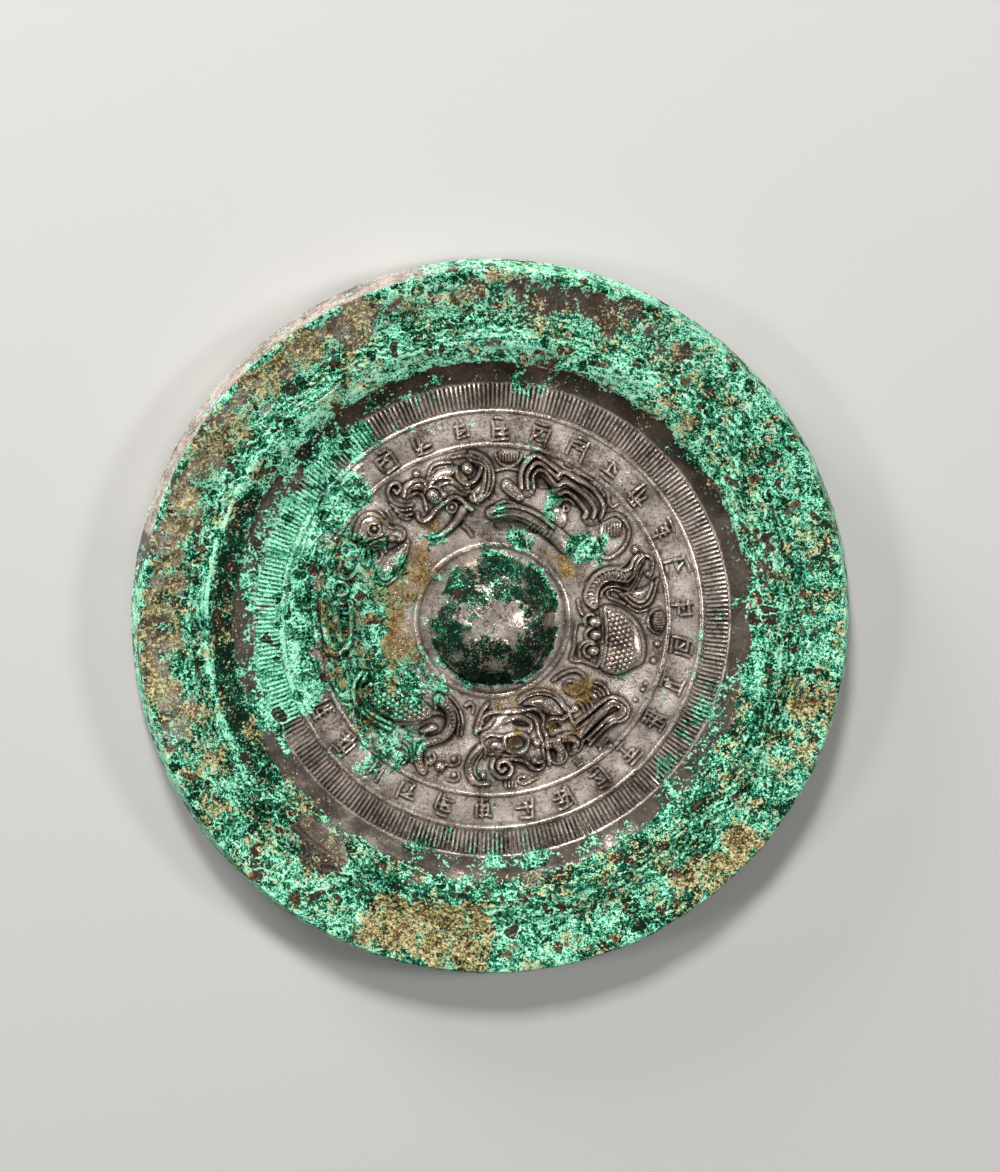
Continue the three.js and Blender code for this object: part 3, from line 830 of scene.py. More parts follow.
def arc_patch(angle, r, start, end, inner, outer, soft=1.6):
    """1 within a piece of a ring, falling to 0 over soft mm outside it."""
    off = np.abs((np.degrees(angle) - (start + end) / 2 + 180) % 360 - 180) - (end - start) / 2
    past = np.maximum(np.radians(off) * r, np.maximum(inner - r, r - outer))
    return smoothstep(soft, -soft, past)


def blob(x, y, cx, cy, rx, ry):
    """1 at the middle of an oval, falling to 0 a little outside it."""
    return smoothstep(1.35, 0.65, np.hypot((x - cx) / rx, (y - cy) / ry))


def full_ring(r, inner, outer, soft):
    """1 between two radii, falling to 0 over soft mm outside them."""
    return smoothstep(soft, -soft, np.maximum(inner - r, r - outer))


def settled(share):
    """How far a share of crust or soil lies as a layer: 0 below 0.4 and 1 above 0.6."""
    return smoothstep(0.4, 0.6, share)


CRUST_ARCS = [  # start and end in degrees, inner and outer radius, amount
    (124, 210, 38.2, 44.0, 1.0), (128, 208, 44, 46.8, 0.55), (134, 206, 31.8, 38.4, 1.0),
    (148, 226, 18, 31.8, 0.92), (140, 235, 14, 18, 0.55), (95, 124, 43.4, 46.8, 0.3),
    (312, 346, 38.4, 47, 0.45), (246, 259, 38.4, 43.4, 0.42), (256, 284, 43.2, 47, 0.62),
    (284, 345, 43.2, 46.8, 0.42), (79, 86, 40, 43.4, 0.5), (0, 20, 43.4, 46.6, 0.3),
]
CRUST_BLOBS = [  # middle, half width and half height, amount
    (5.7, 14.9, 2.6, 1.7, 0.8), (16, 13, 3.4, 2.8, 0.75), (10.2, 20.7, 1.6, 1.5, 0.7),
    (-1, 18.3, 1.2, 1.1, 0.7), (16.5, 22.8, 1, 1, 0.7), (-10, 14.5, 2.6, 1.9, 0.8),
    (-15, -14.5, 2.6, 2.2, 0.7), (-18.5, -10, 3, 2.4, 0.7), (-21, -23, 4, 5, 0.7),
    (-28, 3, 4, 8, 0.75), (-16, -22, 4, 3, 0.5),
]
BARE_ARCS = [
    (61, 82, 55.8, 62.6, 0.6), (54, 88, 56.6, 62.0, 0.5), (224, 238, 46.4, 52.6, 0.85),
    (252, 262, 46.4, 48.4, 0.6), (262, 302, 46.2, 47.8, 0.5), (9, 16, 47.5, 50.5, 0.6),
    (151, 159, 60.8, 63.2, 0.7), (110, 200, 56.5, 63.4, 0.5), (86, 110, 59, 63.4, 0.35),
]
SOIL_ARCS = [
    (110, 200, 56, 63.4, 0.5), (246, 270, 52.6, 63, 0.72), (304, 321, 57.6, 64, 0.75),
    (343, 350, 55.6, 63.2, 0.6), (334, 339, 60, 63, 0.55), (130, 214, 14.2, 20, 0.6),
    (40, 57, 49.2, 51.6, 0.6), (200, 216, 56, 63, 0.4), (86, 110, 58, 63, 0.35),
    (150, 226, 20, 31.8, 0.3), (322, 334, 50, 56, 0.4),
]
SOIL_BLOBS = [
    (13, 9, 1.9, 1.6, 0.75), (10.2, 11.7, 1.6, 1.3, 0.7), (2, -15.2, 4, 1.1, 0.8),
    (16, -12.4, 3, 3.6, 0.7), (-10.5, 18, 2.2, 1.5, 0.7), (-19, 18, 1.6, 1.2, 0.6),
    (4.2, -22.3, 1.7, 1.2, 0.85), (14, -19.5, 2, 2, 0.45), (8, -12.6, 4, 1.5, 0.5),
]
RUST_SPOTS = [  # angle in degrees, radius, size
    (186, 63, 0.8), (200, 61.6, 0.7), (240, 63, 0.6), (233, 60.4, 1.2), (226, 62, 1.0),
    (108, 60.6, 1.0), (103, 61.2, 0.7), (98, 60.2, 1.3), (93, 59.6, 0.8), (147, 48.2, 1.1),
    (127, 47.5, 1.0), (79, 48.4, 1.2), (74, 47.6, 1.0), (32, 48, 0.9), (50, 55, 0.9),
    (22, 57, 0.7), (17, 59, 0.6), (118, 62, 0.7), (165, 60, 0.8), (172, 62.4, 0.7),
    (136, 50.4, 0.8), (88, 49.6, 0.9), (158, 49, 0.8), (270, 48.4, 0.9), (212, 58.4, 0.7),
]


def most(share, patch, rows):
    """The share raised to the amount of each row's patch."""
    for *place, amount in rows:
        share = np.maximum(share, amount * patch(*place))
    return share


def patina(x, y, z, side):
    """How much crust, soil and red oxide lies at each place: near 0 for none and 1 for solid, with
    cloudy noise that goes past both. side is the upward part of the surface's normal: near 0 on
    the edge wall and below 0 on the polished face. The clouds are shifted by the depth below the
    rim, so that they run down the wall too."""
    true_r = np.hypot(x, y)
    drop = np.clip((true_r - RIM_R) * 2, 0, 1) * (RIM_TOP - z)
    swirl = 0.8 * drop / 64  # round the disc by 0.8 mm for each mm of depth
    x, y = x + swirl * y, y - swirl * x
    over, along = x + 1.6 * drop, y + 1.2 * drop
    wander_x = 9 * (mottle(over, along, 5.0, 5, 6, 0.6) - 0.5)
    wander_y = 9 * (mottle(over, along, 5.0, 6, 6, 0.6) - 0.5)
    x, y = x + wander_x, y + wander_y
    r, angle = np.hypot(x, y), np.arctan2(y, x)

    def arc(*place):
        return arc_patch(angle, r, *place)

    def oval(*place):
        return blob(x, y, *place)

    wall = smoothstep(0.75, 0.35, side) * smoothstep(61.5, 63, true_r)
    bare_wall = wall * arc(98, 168, 60, 70, 3)
    upward = smoothstep(-0.2, 0.3, side)
    rim_crust = smoothstep(46.0, 47.4, true_r + 0.25 * wander_x)
    crust = most(most(rim_crust, arc, CRUST_ARCS), oval, CRUST_BLOBS)
    for *place, amount in BARE_ARCS:
        crust = crust * (1 - amount * arc(*place))
    crust = crust * (1 - 0.95 * bare_wall)
    knob = smoothstep(KNOB_R + 0.8, KNOB_R - 0.2, r)
    bare_top = oval(1.0, 0.2, 7.4, 4.0)
    crust = np.maximum(crust, knob * (0.64 - 0.46 * bare_top))
    crust = crust * upward + 0.35 * smoothstep(0.3, -0.2, side)
    crust = crust + 1.7 * (mottle(over, along, 3.4, 21, 6, 0.7) - 0.5)
    soil = most(most(np.zeros_like(x), arc, SOIL_ARCS), oval, SOIL_BLOBS)
    soil = np.maximum(soil, 0.25 * smoothstep(45.9, 47.2, true_r))
    soil = soil * upward + 1.5 * (mottle(over, along, 2.6, 33, 6, 0.75) - 0.5)
    soil = soil - 0.5 * bare_wall
    rust = np.zeros_like(x)
    for degrees, radius, size in RUST_SPOTS:
        turned = math.radians(degrees)
        off = np.hypot(x - radius * math.cos(turned), y - radius * math.sin(turned))
        rust = np.maximum(rust, smoothstep(1.3, 0.6, off / size))
    stray = smoothstep(0.68, 0.78, mottle(over, along, 1.6, 57, 3))
    rust = np.maximum(rust, stray * smoothstep(46, 48, true_r) * 0.9)
    return crust, soil, rust


RIPPLE = 1.25  # mm from one ring of the ripples on the rim's slope to the next


def crust_height(x, y, crust, soil):
    """The crust's thickness: a thin even coat with lumps and pits of cloudy noise in it."""
    lumps = mottle(x, y, 2.4, 71, 3, 0.5)
    fine = mottle(x, y, 0.7, 83, 1, 0.5)
    crust, soil = settled(crust), settled(soil)
    r = np.hypot(x, y)
    ripple = np.sin(2 * math.pi * r / RIPPLE + 9 * mottle(x, y, 7, 17, 2))
    lumps = lumps + 0.13 * ripple * smoothstep(46.5, 48.5, r) * smoothstep(58.5, 56.5, r)
    return crust * (0.10 + 0.5 * (lumps - 0.42) + 0.07 * (fine - 0.5)) + 0.04 * soil * fine


# ---------------------------------------------------------------------------
# The mirror's mesh: the section carried round the axis in rings, finer where the teeth,
# signs and beasts are. Its collapse modifier keeps the detail and drops the rest.

KNOB_ROWS, WALL_ROWS = 46, 18
TOP_RUNS = [  # from radius, to radius, step, corners in each ring
    (11.36, 20, 0.16, 960), (20, 39.2, 0.14, 1920), (39.3, 42.3, 0.6, 1920),
    (42.4, 43.6, 0.2, 1920), (43.8, 51.0, 0.35, 960), (51.1, 55.9, 0.2, 960),
    (56.1, RIM_R, 0.4, 960),
]
FACE_RUNS = [(DISC_R - 1.2, 30, -1.2, 480), (30, 0.8, -1.5, 240)]


def section():
    """The path of the section from the knob's top round to the middle of the polished face:
    radius and height of each ring, how many corners it has, and how much relief it takes."""
    rise = np.radians(np.linspace(89.2, 1.5, KNOB_ROWS))
    runs = [(KNOB_R * np.cos(rise), floor_height(KNOB_R) + KNOB_RISE * np.sin(rise), 480, 0.0)]
    for start, end, step, count in TOP_RUNS:
        r = np.arange(start, end, step)
        runs.append((r, top_height(r), count, 1.0))
    edge_z = float(face_height(np.array(DISC_R)))
    down, bevels = np.linspace(0, 1, WALL_ROWS), [0, 0.06, 0.94, 1]
    wall_r = np.interp(down, bevels, [RIM_R + 0.15, RIM_R + 0.42, DISC_R, DISC_R - 0.35])
    wall_z = np.interp(down, bevels, [RIM_TOP - 0.08, RIM_TOP - 0.5, edge_z + 0.4, edge_z])
    runs.append((wall_r, wall_z, 960, 0.0))
    for start, end, step, count in FACE_RUNS:
        r = np.arange(start, end, step)
        runs.append((r, face_height(r), count, 0.0))
    whole = [np.broadcast_arrays(*run) for run in runs]
    return [np.concatenate(column) for column in zip(*whole)]


def ring_faces(first_a, count_a, first_b, count_b):
    """Triangles between two neighbouring rings, where one may have twice the corners."""
    if count_a == count_b:
        k = np.arange(count_a)
        n = (k + 1) % count_a
        a, a2, b, b2 = first_a + k, first_a + n, first_b + k, first_b + n
        return np.concatenate([np.stack([a, b, b2], 1), np.stack([a, b2, a2], 1)])
    few_first, few, many_first = (
        (first_a, count_a, first_b) if count_a < count_b else (first_b, count_b, first_a)
    )
    ratio = max(count_a, count_b) // few
    k = np.arange(few)
    n = (k + 1) % few
    fans = []
    for s in range(ratio):
        hub, rim = (k if s < ratio // 2 else n), k * ratio + s
        next_rim = many_first + (rim + 1) % (few * ratio)
        fans.append(np.stack([few_first + hub, many_first + rim, next_rim], 1))
    fans.append(np.stack([few_first + k, many_first + k * ratio + ratio // 2, few_first + n], 1))
    faces = np.concatenate(fans)
    return faces if count_a < count_b else faces[:, ::-1]


def casting_mesh():
    """The whole casting: each ring of the section gets the relief, teeth, zigzag and crust of
    its places, added along the section's own normal."""
    ring_r, ring_z, count, worked = section()
    dr, dz = np.gradient(ring_r), np.gradient(ring_z)
    size = np.hypot(dr, dz)
    out_r, out_z = -dz / size, dr / size
    ring = np.repeat(np.arange(len(count)), count)
    first = np.concatenate([[0], np.cumsum(count)[:-1]])
    angle = 2 * math.pi * (np.arange(len(ring)) - first[ring]) / count[ring]
    r = ring_r[ring]
    x, y = r * np.cos(angle), r * np.sin(angle)
    crust, soil, _ = patina(x, y, ring_z[ring], out_z[ring])
    raised = worked[ring] * (r < FIELD_R) * look_up(relief, x, y)
    tooth = comb_band(r) * comb_wave(angle) * (COMB_RISE - 0.12 * settled(crust))
    wear = 1 - 0.45 * mottle(x, y, 5, 91, 3)
    raised = raised + worked[ring] * (tooth + zigzag(r, angle) * wear)
    # On the polished face the crust is a fifth as thick, and there is none where it rests.
    face = out_z[ring] < -0.5
    off_rest = np.clip(smoothstep(30, 36, r) + ~face, 0, 1)
    raised = raised + crust_height(x, y, crust, soil) * off_rest * np.where(face, 0.2, 1)
    r = r + out_r[ring] * raised
    z = ring_z[ring] + out_z[ring] * raised
    corners = np.stack([r * np.cos(angle), r * np.sin(angle), z], 1)
    top = np.array([[0, 0, floor_height(KNOB_R) + KNOB_RISE]])
    bottom = np.array([[0, 0, 0.0]])
    corners = np.concatenate([corners, top, bottom])
    faces = [
        ring_faces(first[k], count[k], first[k + 1], count[k + 1]) for k in range(len(count) - 1)
    ]
    top_at, bottom_at = len(corners) - 2, len(corners) - 1
    k = np.arange(count[0])
    faces.append(np.stack([0 * k + top_at, k, (k + 1) % count[0]], 1))
    k = np.arange(count[-1])
    n = (k + 1) % count[-1]
    faces.append(np.stack([0 * k + bottom_at, first[-1] + n, first[-1] + k], 1))
    return corners, np.concatenate(faces)


def to_mesh(name, corners, faces):
    """A mesh in metres from corners in millimetres and triangles."""
    mesh = bpy.data.meshes.new(name)
    mesh.vertices.add(len(corners))
    mesh.vertices.foreach_set("co", (corners / 1000).astype(np.float32).ravel())
    mesh.loops.add(faces.size)
    mesh.loops.foreach_set("vertex_index", faces.astype(np.int32).ravel())
    mesh.polygons.add(len(faces))
    mesh.polygons.foreach_set("loop_start", np.arange(0, faces.size, 3, dtype=np.int32))
    mesh.polygons.foreach_set("loop_total", np.full(len(faces), 3, dtype=np.int32))
    mesh.update(calc_edges=True)
    mesh.validate()
    return mesh


TUNNEL_HALF, TUNNEL_HEIGHT, TUNNEL_CORNER, TUNNEL_LIFT = 2.9, 5.7, 2.0, 0.1


def tunnel_outline():
    """The tunnel's section: upright walls on a flat floor, with round upper corners."""
    base = float(floor_height(KNOB_R)) + TUNNEL_LIFT
    middle = [TUNNEL_HALF - TUNNEL_CORNER, base + TUNNEL_HEIGHT - TUNNEL_CORNER]
    turn_up = np.radians(np.linspace(0, 90, 9))
    right = middle + TUNNEL_CORNER * np.stack([np.cos(turn_up), np.sin(turn_up)], 1)
    left = right[::-1] * [-1, 1]
    return np.concatenate([[[-TUNNEL_HALF, base], [TUNNEL_HALF, base]], right, left])


def bar_mesh():
    """The bar that the tunnel's section makes when it is carried along Y through the knob."""
    outline = tunnel_outline()
    reach, n = KNOB_R + 0.4, len(outline)
    ends = [np.stack([outline[:, 0], np.full(n, y), outline[:, 1]], 1) for y in (-reach, reach)]
    k = np.arange(n)
    m = (k + 1) % n
    sides = np.concatenate([np.stack([k, m, m + n], 1), np.stack([k, m + n, k + n], 1)])
    k = np.arange(1, n - 1)
    near_cap, far_cap = [0 * k, k + 1, k], [0 * k + n, k + n, k + n + 1]
    faces = np.concatenate([sides, np.stack(near_cap, 1), np.stack(far_cap, 1)])
    return np.concatenate(ends), faces


KEPT_TRIANGLES = 192000  # what the collapse leaves; the bore then adds its own
raw = to_mesh("casting", *casting_mesh())
mirror = bpy.data.objects.new("mirror_casting", raw)
bpy.context.scene.collection.objects.link(mirror)
bar = bpy.data.objects.new("tunnel_bar", to_mesh("tunnel_bar", *bar_mesh()))
bpy.context.scene.collection.objects.link(bar)
collapse = mirror.modifiers.new("collapse", "DECIMATE")
collapse.ratio = KEPT_TRIANGLES / len(raw.polygons)
bore = mirror.modifiers.new("bore", "BOOLEAN")
bore.operation, bore.solver, bore.object = "DIFFERENCE", "MANIFOLD", bar
bpy.context.view_layer.update()
carved = mirror.evaluated_get(bpy.context.evaluated_depsgraph_get())
finished = bpy.data.meshes.new_from_object(carved)
mirror.modifiers.clear()
mirror.data = finished
mirror.data.name = "mirror_casting"
bpy.data.objects.remove(bar)
bpy.data.meshes.remove(raw)
finished.polygons.foreach_set("use_smooth", np.ones(len(finished.polygons), bool))
finished.set_sharp_from_angle(angle=math.radians(42))


def fetched(collection, name, kind=np.float32, parts=1):
    """One property of every item of a mesh's collection, as an array."""
    values = np.empty(len(collection) * parts, kind)
    collection.foreach_get(name, values)
    return values.reshape(-1, parts) if parts > 1 else values


# What the finish needs to know at each corner: the shares of crust, soil and rust, the painted
# shade of its hollows or (below 0) the painted highlight, partly wear, of its crests, how
# tarnished, and how deep in tone its crust is.
spots = fetched(finished.vertices, "co", parts=3).astype(float) * 1000
upward = fetched(finished.vertex_normals, "vector", parts=3)[:, 2]
spot_x, spot_y, spot_z = spots.T
spot_r, spot_angle = np.hypot(spot_x, spot_y), np.arctan2(spot_y, spot_x)


def spot_arc(*place):
    """arc_patch at every corner of the mesh."""
    return arc_patch(spot_angle, spot_r, *place)


under = (upward < -0.3) & (spot_z < 2.4)  # the polished face
side = np.where(under, -1.0, np.where(spot_r > 63.4, np.clip(upward, 0, 1), 1.0))
crust, soil, rust = patina(spot_x, spot_y, spot_z, side)

in_field = (spot_r < FIELD_R) & (spot_r > KNOB_R + 0.1)
hollow = np.where(in_field, look_up(shade_and_highlight_map, spot_x, spot_y), 0)
# Painted shade in the comb's grooves, and painted highlight (below 0) on its teeth.
comb_shade_and_highlight = comb_band(spot_r) * (1.25 - 2.7 * comb_wave(spot_angle))
hollow = np.where(comb_band(spot_r) > 0.05, np.clip(comb_shade_and_highlight, -0.8, 1), hollow)
# Painted shade in thin lines at the knob's foot and beside the raised rings and steps.
hollow = np.maximum(hollow, full_ring(spot_r, 13.2, 13.3, 0.35) * 0.6)
for ring, amount in [  # the dark lines beside the raised rings and steps: radius, amount
    (31.25, 1.6), (32.55, 1.6), (37.4, 1.6), (38.6, 1.6), (13.1, 1.44), (14.5, 1.44),
    (51.1, 1.44), (52.2, 0.96), (56.0, 0.72), (46.7, 0.8), (43.2, 1.12),
]:
    hollow = np.maximum(hollow, full_ring(spot_r, ring, ring, 0.4) * amount)
# Painted shade between the zigzag's beads.
shade_between_beads = 0.6 * (1 - zigzag(spot_r, spot_angle) / ZIGZAG_RISE)
hollow = np.maximum(hollow, shade_between_beads * full_ring(spot_r, 52.2, 55.0, 0.5))
hollow = np.clip(hollow, -1, 1)
# Painted shade in the pits of the crust.
crust_pit_shade = smoothstep(0.52, 0.36, mottle(spot_x, spot_y, 2.4, 71, 5, 0.6))
hollow = np.maximum(hollow, settled(crust) * crust_pit_shade * 0.9)

tarnish = smoothstep(43.0, 43.5, spot_r) * (1 - 0.2 * spot_arc(215, 305, 43, 53, 3))
tarnish = tarnish * (1 - 0.9 * spot_arc(95, 165, 63.6, 70, 0.4))
tarnish = np.maximum(tarnish, 0.55 * spot_arc(60, 240, 38, 46, 4))
tarnish = tarnish * (1 - 0.35 * spot_arc(95, 205, 54, 63, 2))
tarnish = np.maximum(tarnish, 0.3 * smoothstep(39, 38, spot_r))
tarnish = np.maximum(tarnish, 0.45 * smoothstep(31.5, 14, spot_r))
tarnish = tarnish + 1.1 * (mottle(spot_x, spot_y, 4.5, 44, 6, 0.7) - 0.5)

# The edge wall at the upper left is bare bright metal, less tarnished, with a painted highlight on
# it.
bare_and_glint_wall = smoothstep(63.5, 63.9, spot_r) * spot_arc(102, 162, 60, 70, 7)
tarnish = tarnish - 0.6 * bare_and_glint_wall
hollow = hollow - (hollow + 0.7) * bare_and_glint_wall

# The crust's tone: darkest on the knob, and darker still toward the knob's lower side. On the
# rim's slope it is painted light, lighter at the top and darker at the bottom.
depth = (3 + 1.2 * smoothstep(1, -6, spot_y)) * smoothstep(KNOB_R + 1, KNOB_R, spot_r)
for amount, *place in [  # amount, start and end in degrees, inner and outer radius, softness
    (0.1, 150, 235, 14, 31, 2), (-1.2, 126, 210, 35, 43.5, 1.5), (-0.7, 55, 140, 46, 52, 2),
    (1.0, 200, 345, 46, 52, 2), (3, 152, 203, 47.2, 50.8, 0.8), (-1.6, 140, 207, 51.2, 52, 0.5),
    (-1.1, -180, 180, 52, 52.9, 0.7), (0.5, -75, 70, 55, 63.4, 3),
]:
    depth = depth + amount * spot_arc(*place)
depth = depth - 1.1 * smoothstep(63.1, 63.7, spot_r)

# Painted shadow of the rim on the shelf at the top. In the sign band, painted shade makes the bare
# ground a little darker and painted highlight makes the strokes brighter.
hollow = np.maximum(hollow, spot_arc(25, 140, 43.6, 46.6, 1.0))
in_signs = full_ring(spot_r, 32.9, 37.1, 0.3) * smoothstep(0.6, 0.3, crust)
ground = np.maximum(hollow, 0.16 * in_signs)
hollow = np.where(hollow > -0.08, ground, hollow * (1 + 0.9 * in_signs))

# The last number of each row is its even value over the whole polished face.
for name, values, on_face in [
    ("crust", crust, 0.28), ("soil", soil, 0.1), ("rust", rust, 0.0),
    ("hollow", hollow, 0.0), ("tarnish", tarnish, 0.4), ("depth", depth, 0.4),
]:
    layer = finished.attributes.new(name, "FLOAT", "POINT")
    layer.data.foreach_set("value", np.where(under, on_face, values).astype(np.float32))


BACK_MIDDLE, BACK_HALF = 0.42, 0.415  # places and sizes in the unit square
FACE_MIDDLE, FACE_HALF = 0.84, 0.155
STRIP_CORNER, STRIP_SIZE = (0.82, 0.02), (0.16, 0.15)


def unfold(mesh):
    """The flat layout for baking: the decorated side as a disc whose radius follows the length
    of the section, the polished face as a small disc, and the tunnel as a strip."""
    totals = fetched(mesh.polygons, "loop_total", np.int32)
    centres = fetched(mesh.polygons, "center", parts=3) * 1000
    facing = fetched(mesh.polygons, "normal", parts=3)
    owner = np.repeat(np.arange(len(totals)), totals)
    p = spots[fetched(mesh.loops, "vertex_index", np.int32)]
    r, angle = np.hypot(p[:, 0], p[:, 1]), np.arctan2(p[:, 1], p[:, 0])

    # The decorated side: a disc of BACK_HALF about BACK_MIDDLE.
    ring_r, ring_z, _, _ = section()
    edge = int(np.argmin(np.abs(ring_r - DISC_R) + 10 * (ring_z > 3)))
    steps = np.hypot(np.diff(ring_r[: edge + 1]), np.diff(ring_z[: edge + 1]))
    run = np.concatenate([[0], np.cumsum(steps)]) + 0.2
    knob_foot = float(floor_height(KNOB_R))
    knob, height = (z - knob_foot for z in (ring_z[:KNOB_ROWS], p[:, 2]))
    knob_run = np.interp(-np.clip(height, 0, KNOB_RISE), -knob, run[:KNOB_ROWS])
    top = slice(KNOB_ROWS, int(np.argmax(ring_r > RIM_R)))
    top_run = np.interp(r, ring_r[top], run[top])
    wall = slice(top.stop, edge + 1)
    wall_run = np.interp(-p[:, 2], -ring_z[wall], run[wall])
    along = np.where(r < KNOB_R + 0.02, knob_run, np.where(r < RIM_R, top_run, wall_run))
    along = along * BACK_HALF / (run[-1] + 0.6)
    uv = BACK_MIDDLE + np.stack([along * np.cos(angle), along * np.sin(angle)], 1)

    # The polished face: a disc of FACE_HALF about FACE_MIDDLE.
    below = ((facing[:, 2] < -0.5) & (centres[:, 2] < 2.3))[owner]
    uv[below] = FACE_MIDDLE + FACE_HALF / (DISC_R + 0.5) * p[below, :2]

    # The tunnel: unrolled round its middle height, with each triangle kept whole.
    outline = tunnel_outline()
    roof, base = outline[:, 1].max(), outline[:, 1].min()
    off = np.abs(centres)
    in_bar = (off[:, 0] < TUNNEL_HALF + 0.01) & (off[:, 1] < KNOB_R + 0.3)
    in_bar &= (centres[:, 2] < roof + 0.01) & (centres[:, 2] > base - 0.01)
    wall_or_roof = (np.abs(facing[:, 0]) > 0.05) | (facing[:, 2] < -0.5)
    wall_or_roof &= np.abs(facing[:, 1]) < 0.02
    level_floor = (np.abs(centres[:, 2] - base) < 0.01) & (facing[:, 2] > 0.999)
    hole = (in_bar & (wall_or_roof | level_floor))[owner]
    middle = base + 2.5
    round_it = np.arctan2(p[:, 2] - middle, p[:, 0]) / (2 * math.pi) + 0.5
    centre_turn = np.arctan2(centres[:, 2] - middle, centres[:, 0]) / (2 * math.pi) + 0.5
    round_it = round_it + np.round(centre_turn[owner] - round_it)
    strip = np.stack([round_it, p[:, 1] / (2 * KNOB_R) + 0.5], 1)
    uv[hole] = STRIP_CORNER + strip[hole] * STRIP_SIZE
    layer = mesh.uv_layers.new(name="OFBake")
    layer.data.foreach_set("uv", uv.astype(np.float32).ravel())
    mesh.uv_layers.active = layer


unfold(finished)

# The finish: old bronze that is silver-grey where it is bare, with painted shade in its hollows
# and painted highlight on its crests, and under green crust, tan soil and red oxide elsewhere.


class Wire:
    """A value or colour on its way through a material. Sums and products add Math nodes."""

    def __init__(self, tree, socket=None):
        self.tree, self.socket = tree, socket

    def add(self, kind, settings=None, inputs=None, output=0):
        """A new node: its settings first, then the numbers or wires of its sockets."""
        node = self.tree.nodes.new(kind)
        for name, value in (settings or {}).items():
            if name == "stops":
                ramp = node.color_ramp
                while len(ramp.elements) < len(value):
                    ramp.elements.new(0.5)
                for element, (place, colour) in zip(ramp.elements, value):
                    element.position, element.color = place, (*colour, 1)
            else:
                setattr(node, name, value)
        for name, value in (inputs or {}).items():
            if isinstance(value, Wire):
                self.tree.links.new(value.socket, node.inputs[name])
            else:
                node.inputs[name].default_value = value
        return Wire(self.tree, node.outputs[output] if node.outputs else None)

    def maths(self, operation, *values):
        """A Math node on numbers or wires."""
        return self.add("ShaderNodeMath", {"operation": operation}, dict(enumerate(values)))

    def __add__(self, other):
        return self.maths("ADD", self, other)

    __radd__ = __add__

    def __sub__(self, other):
        return self.maths("SUBTRACT", self, other)

    def __rsub__(self, other):
        return self.maths("SUBTRACT", other, self)

    def __mul__(self, other):
        return self.maths("MULTIPLY", self, other)

    __rmul__ = __mul__

    def step(self, start, end):
        """0 below start and 1 above end, smooth between."""
        inputs = {"Value": self, "From Min": start, "From Max": end}
        return self.add("ShaderNodeMapRange", {"interpolation_type": "SMOOTHSTEP"}, inputs)

    def over(self, under, colour):
        """This wire as a mask: colour where it is 1, under where it is 0."""
        a, b = (c if isinstance(c, Wire) else (*c, 1) for c in (under, colour))
        return self.add("ShaderNodeMix", {"data_type": "RGBA"}, {0: self, 6: a, 7: b}, 2)


finish = bpy.data.materials.new("patinated_bronze")
finish.use_nodes = True
finish.node_tree.nodes.clear()
pen = Wire(finish.node_tree)
place = pen.add("ShaderNodeTexCoord", output=3)


def share(name):
    """A value stored at each corner of the mesh."""
    return pen.add("ShaderNodeAttribute", {"attribute_name": name}, output=2)


# Three sets of coordinates in metres: plain, drawn out along the rim, and along the teeth.
across = pen.add("ShaderNodeSeparateXYZ", inputs={0: place}, output=0)
along = pen.add("ShaderNodeSeparateXYZ", inputs={0: place}, output=1)
radius = pen.maths("SQRT", across * across + along * along)
cosine, sine = pen.maths("DIVIDE", across, radius), pen.maths("DIVIDE", along, radius)
round_rim, by_tooth = (
    pen.add("ShaderNodeCombineXYZ", inputs={0: cosine * turn, 1: sine * turn, 2: radius * out})
    for turn, out in [(0.05, 4), (0.12, 0.6)]
)


def grain(size, detail=3.0, rough=0.6, at=place):
    """Cloudy noise whose clumps are size millimetres across."""
    inputs = {"Vector": at, "Scale": 1000 / size, "Detail": detail, "Roughness": rough}
    return pen.add("ShaderNodeTexNoise", inputs=inputs)


def larger(first, second):
    """The larger of two values."""
    return pen.maths("MAXIMUM", first, second)


clumps, lumps = grain(5.5, 3), grain(1.5, 5, 0.75)
specks, dust = grain(0.55, 3, 0.7), grain(0.22, 2)
ringed, fibres = grain(4.2, 5, 0.75, round_rim), grain(1.1, 4, 0.7, by_tooth)
on_slope = radius.step(0.0465, 0.050) * (1 - radius.step(0.0555, 0.0585))
on_comb = radius.step(0.0365, 0.0385) * (1 - radius.step(0.0432, 0.0440))
ripple = pen.maths("SINE", radius * (2000 * math.pi / RIPPLE) + grain(8, 2) * 16 + lumps * 3)
mottled = lumps + (ringed - lumps) * on_slope * 0.75 + (fibres - lumps) * on_comb * 0.8

drift = pen.add(
    "ShaderNodeTexNoise", inputs={"Vector": place, "Scale": 1000 / 1.4, "Detail": 4.0}, output=1
)
drifted = pen.add(
    "ShaderNodeVectorMath", {"operation": "MULTIPLY_ADD"}, {0: drift, 1: (0.0013,) * 3, 2: place}
)


def cells(size, feature, output):
    """Cracked plates size millimetres across, with wandering edges."""
    inputs = {"Vector": drifted, "Scale": 1000 / size}
    return pen.add("ShaderNodeTexVoronoi", {"feature": feature}, inputs, output)


PLATE_SIZE, PIT_SIZE = 2.1, 1.25
plate = pen.add("ShaderNodeSeparateColor", inputs={0: cells(PLATE_SIZE, "F1", 1)})
plate_edge = cells(PLATE_SIZE, "DISTANCE_TO_EDGE", 0)
dark_plate = plate.step(0.74, 0.78) * plate_edge.step(0.03, 0.10)
pale_seam = (1 - plate_edge.step(0.02, 0.09)) * plate.step(0.3, 0.5)
pit_far = cells(PIT_SIZE, "F1", 0)
pit_kind = pen.add("ShaderNodeSeparateColor", inputs={0: cells(PIT_SIZE, "F1", 1)}, output=1)
pitted = pit_kind.step(0.66, 0.7)
pit = (1 - pit_far.step(0.16, 0.26)) * pitted
pit_lip = (1 - pit_far.step(0.34, 0.42)) * pitted - pit

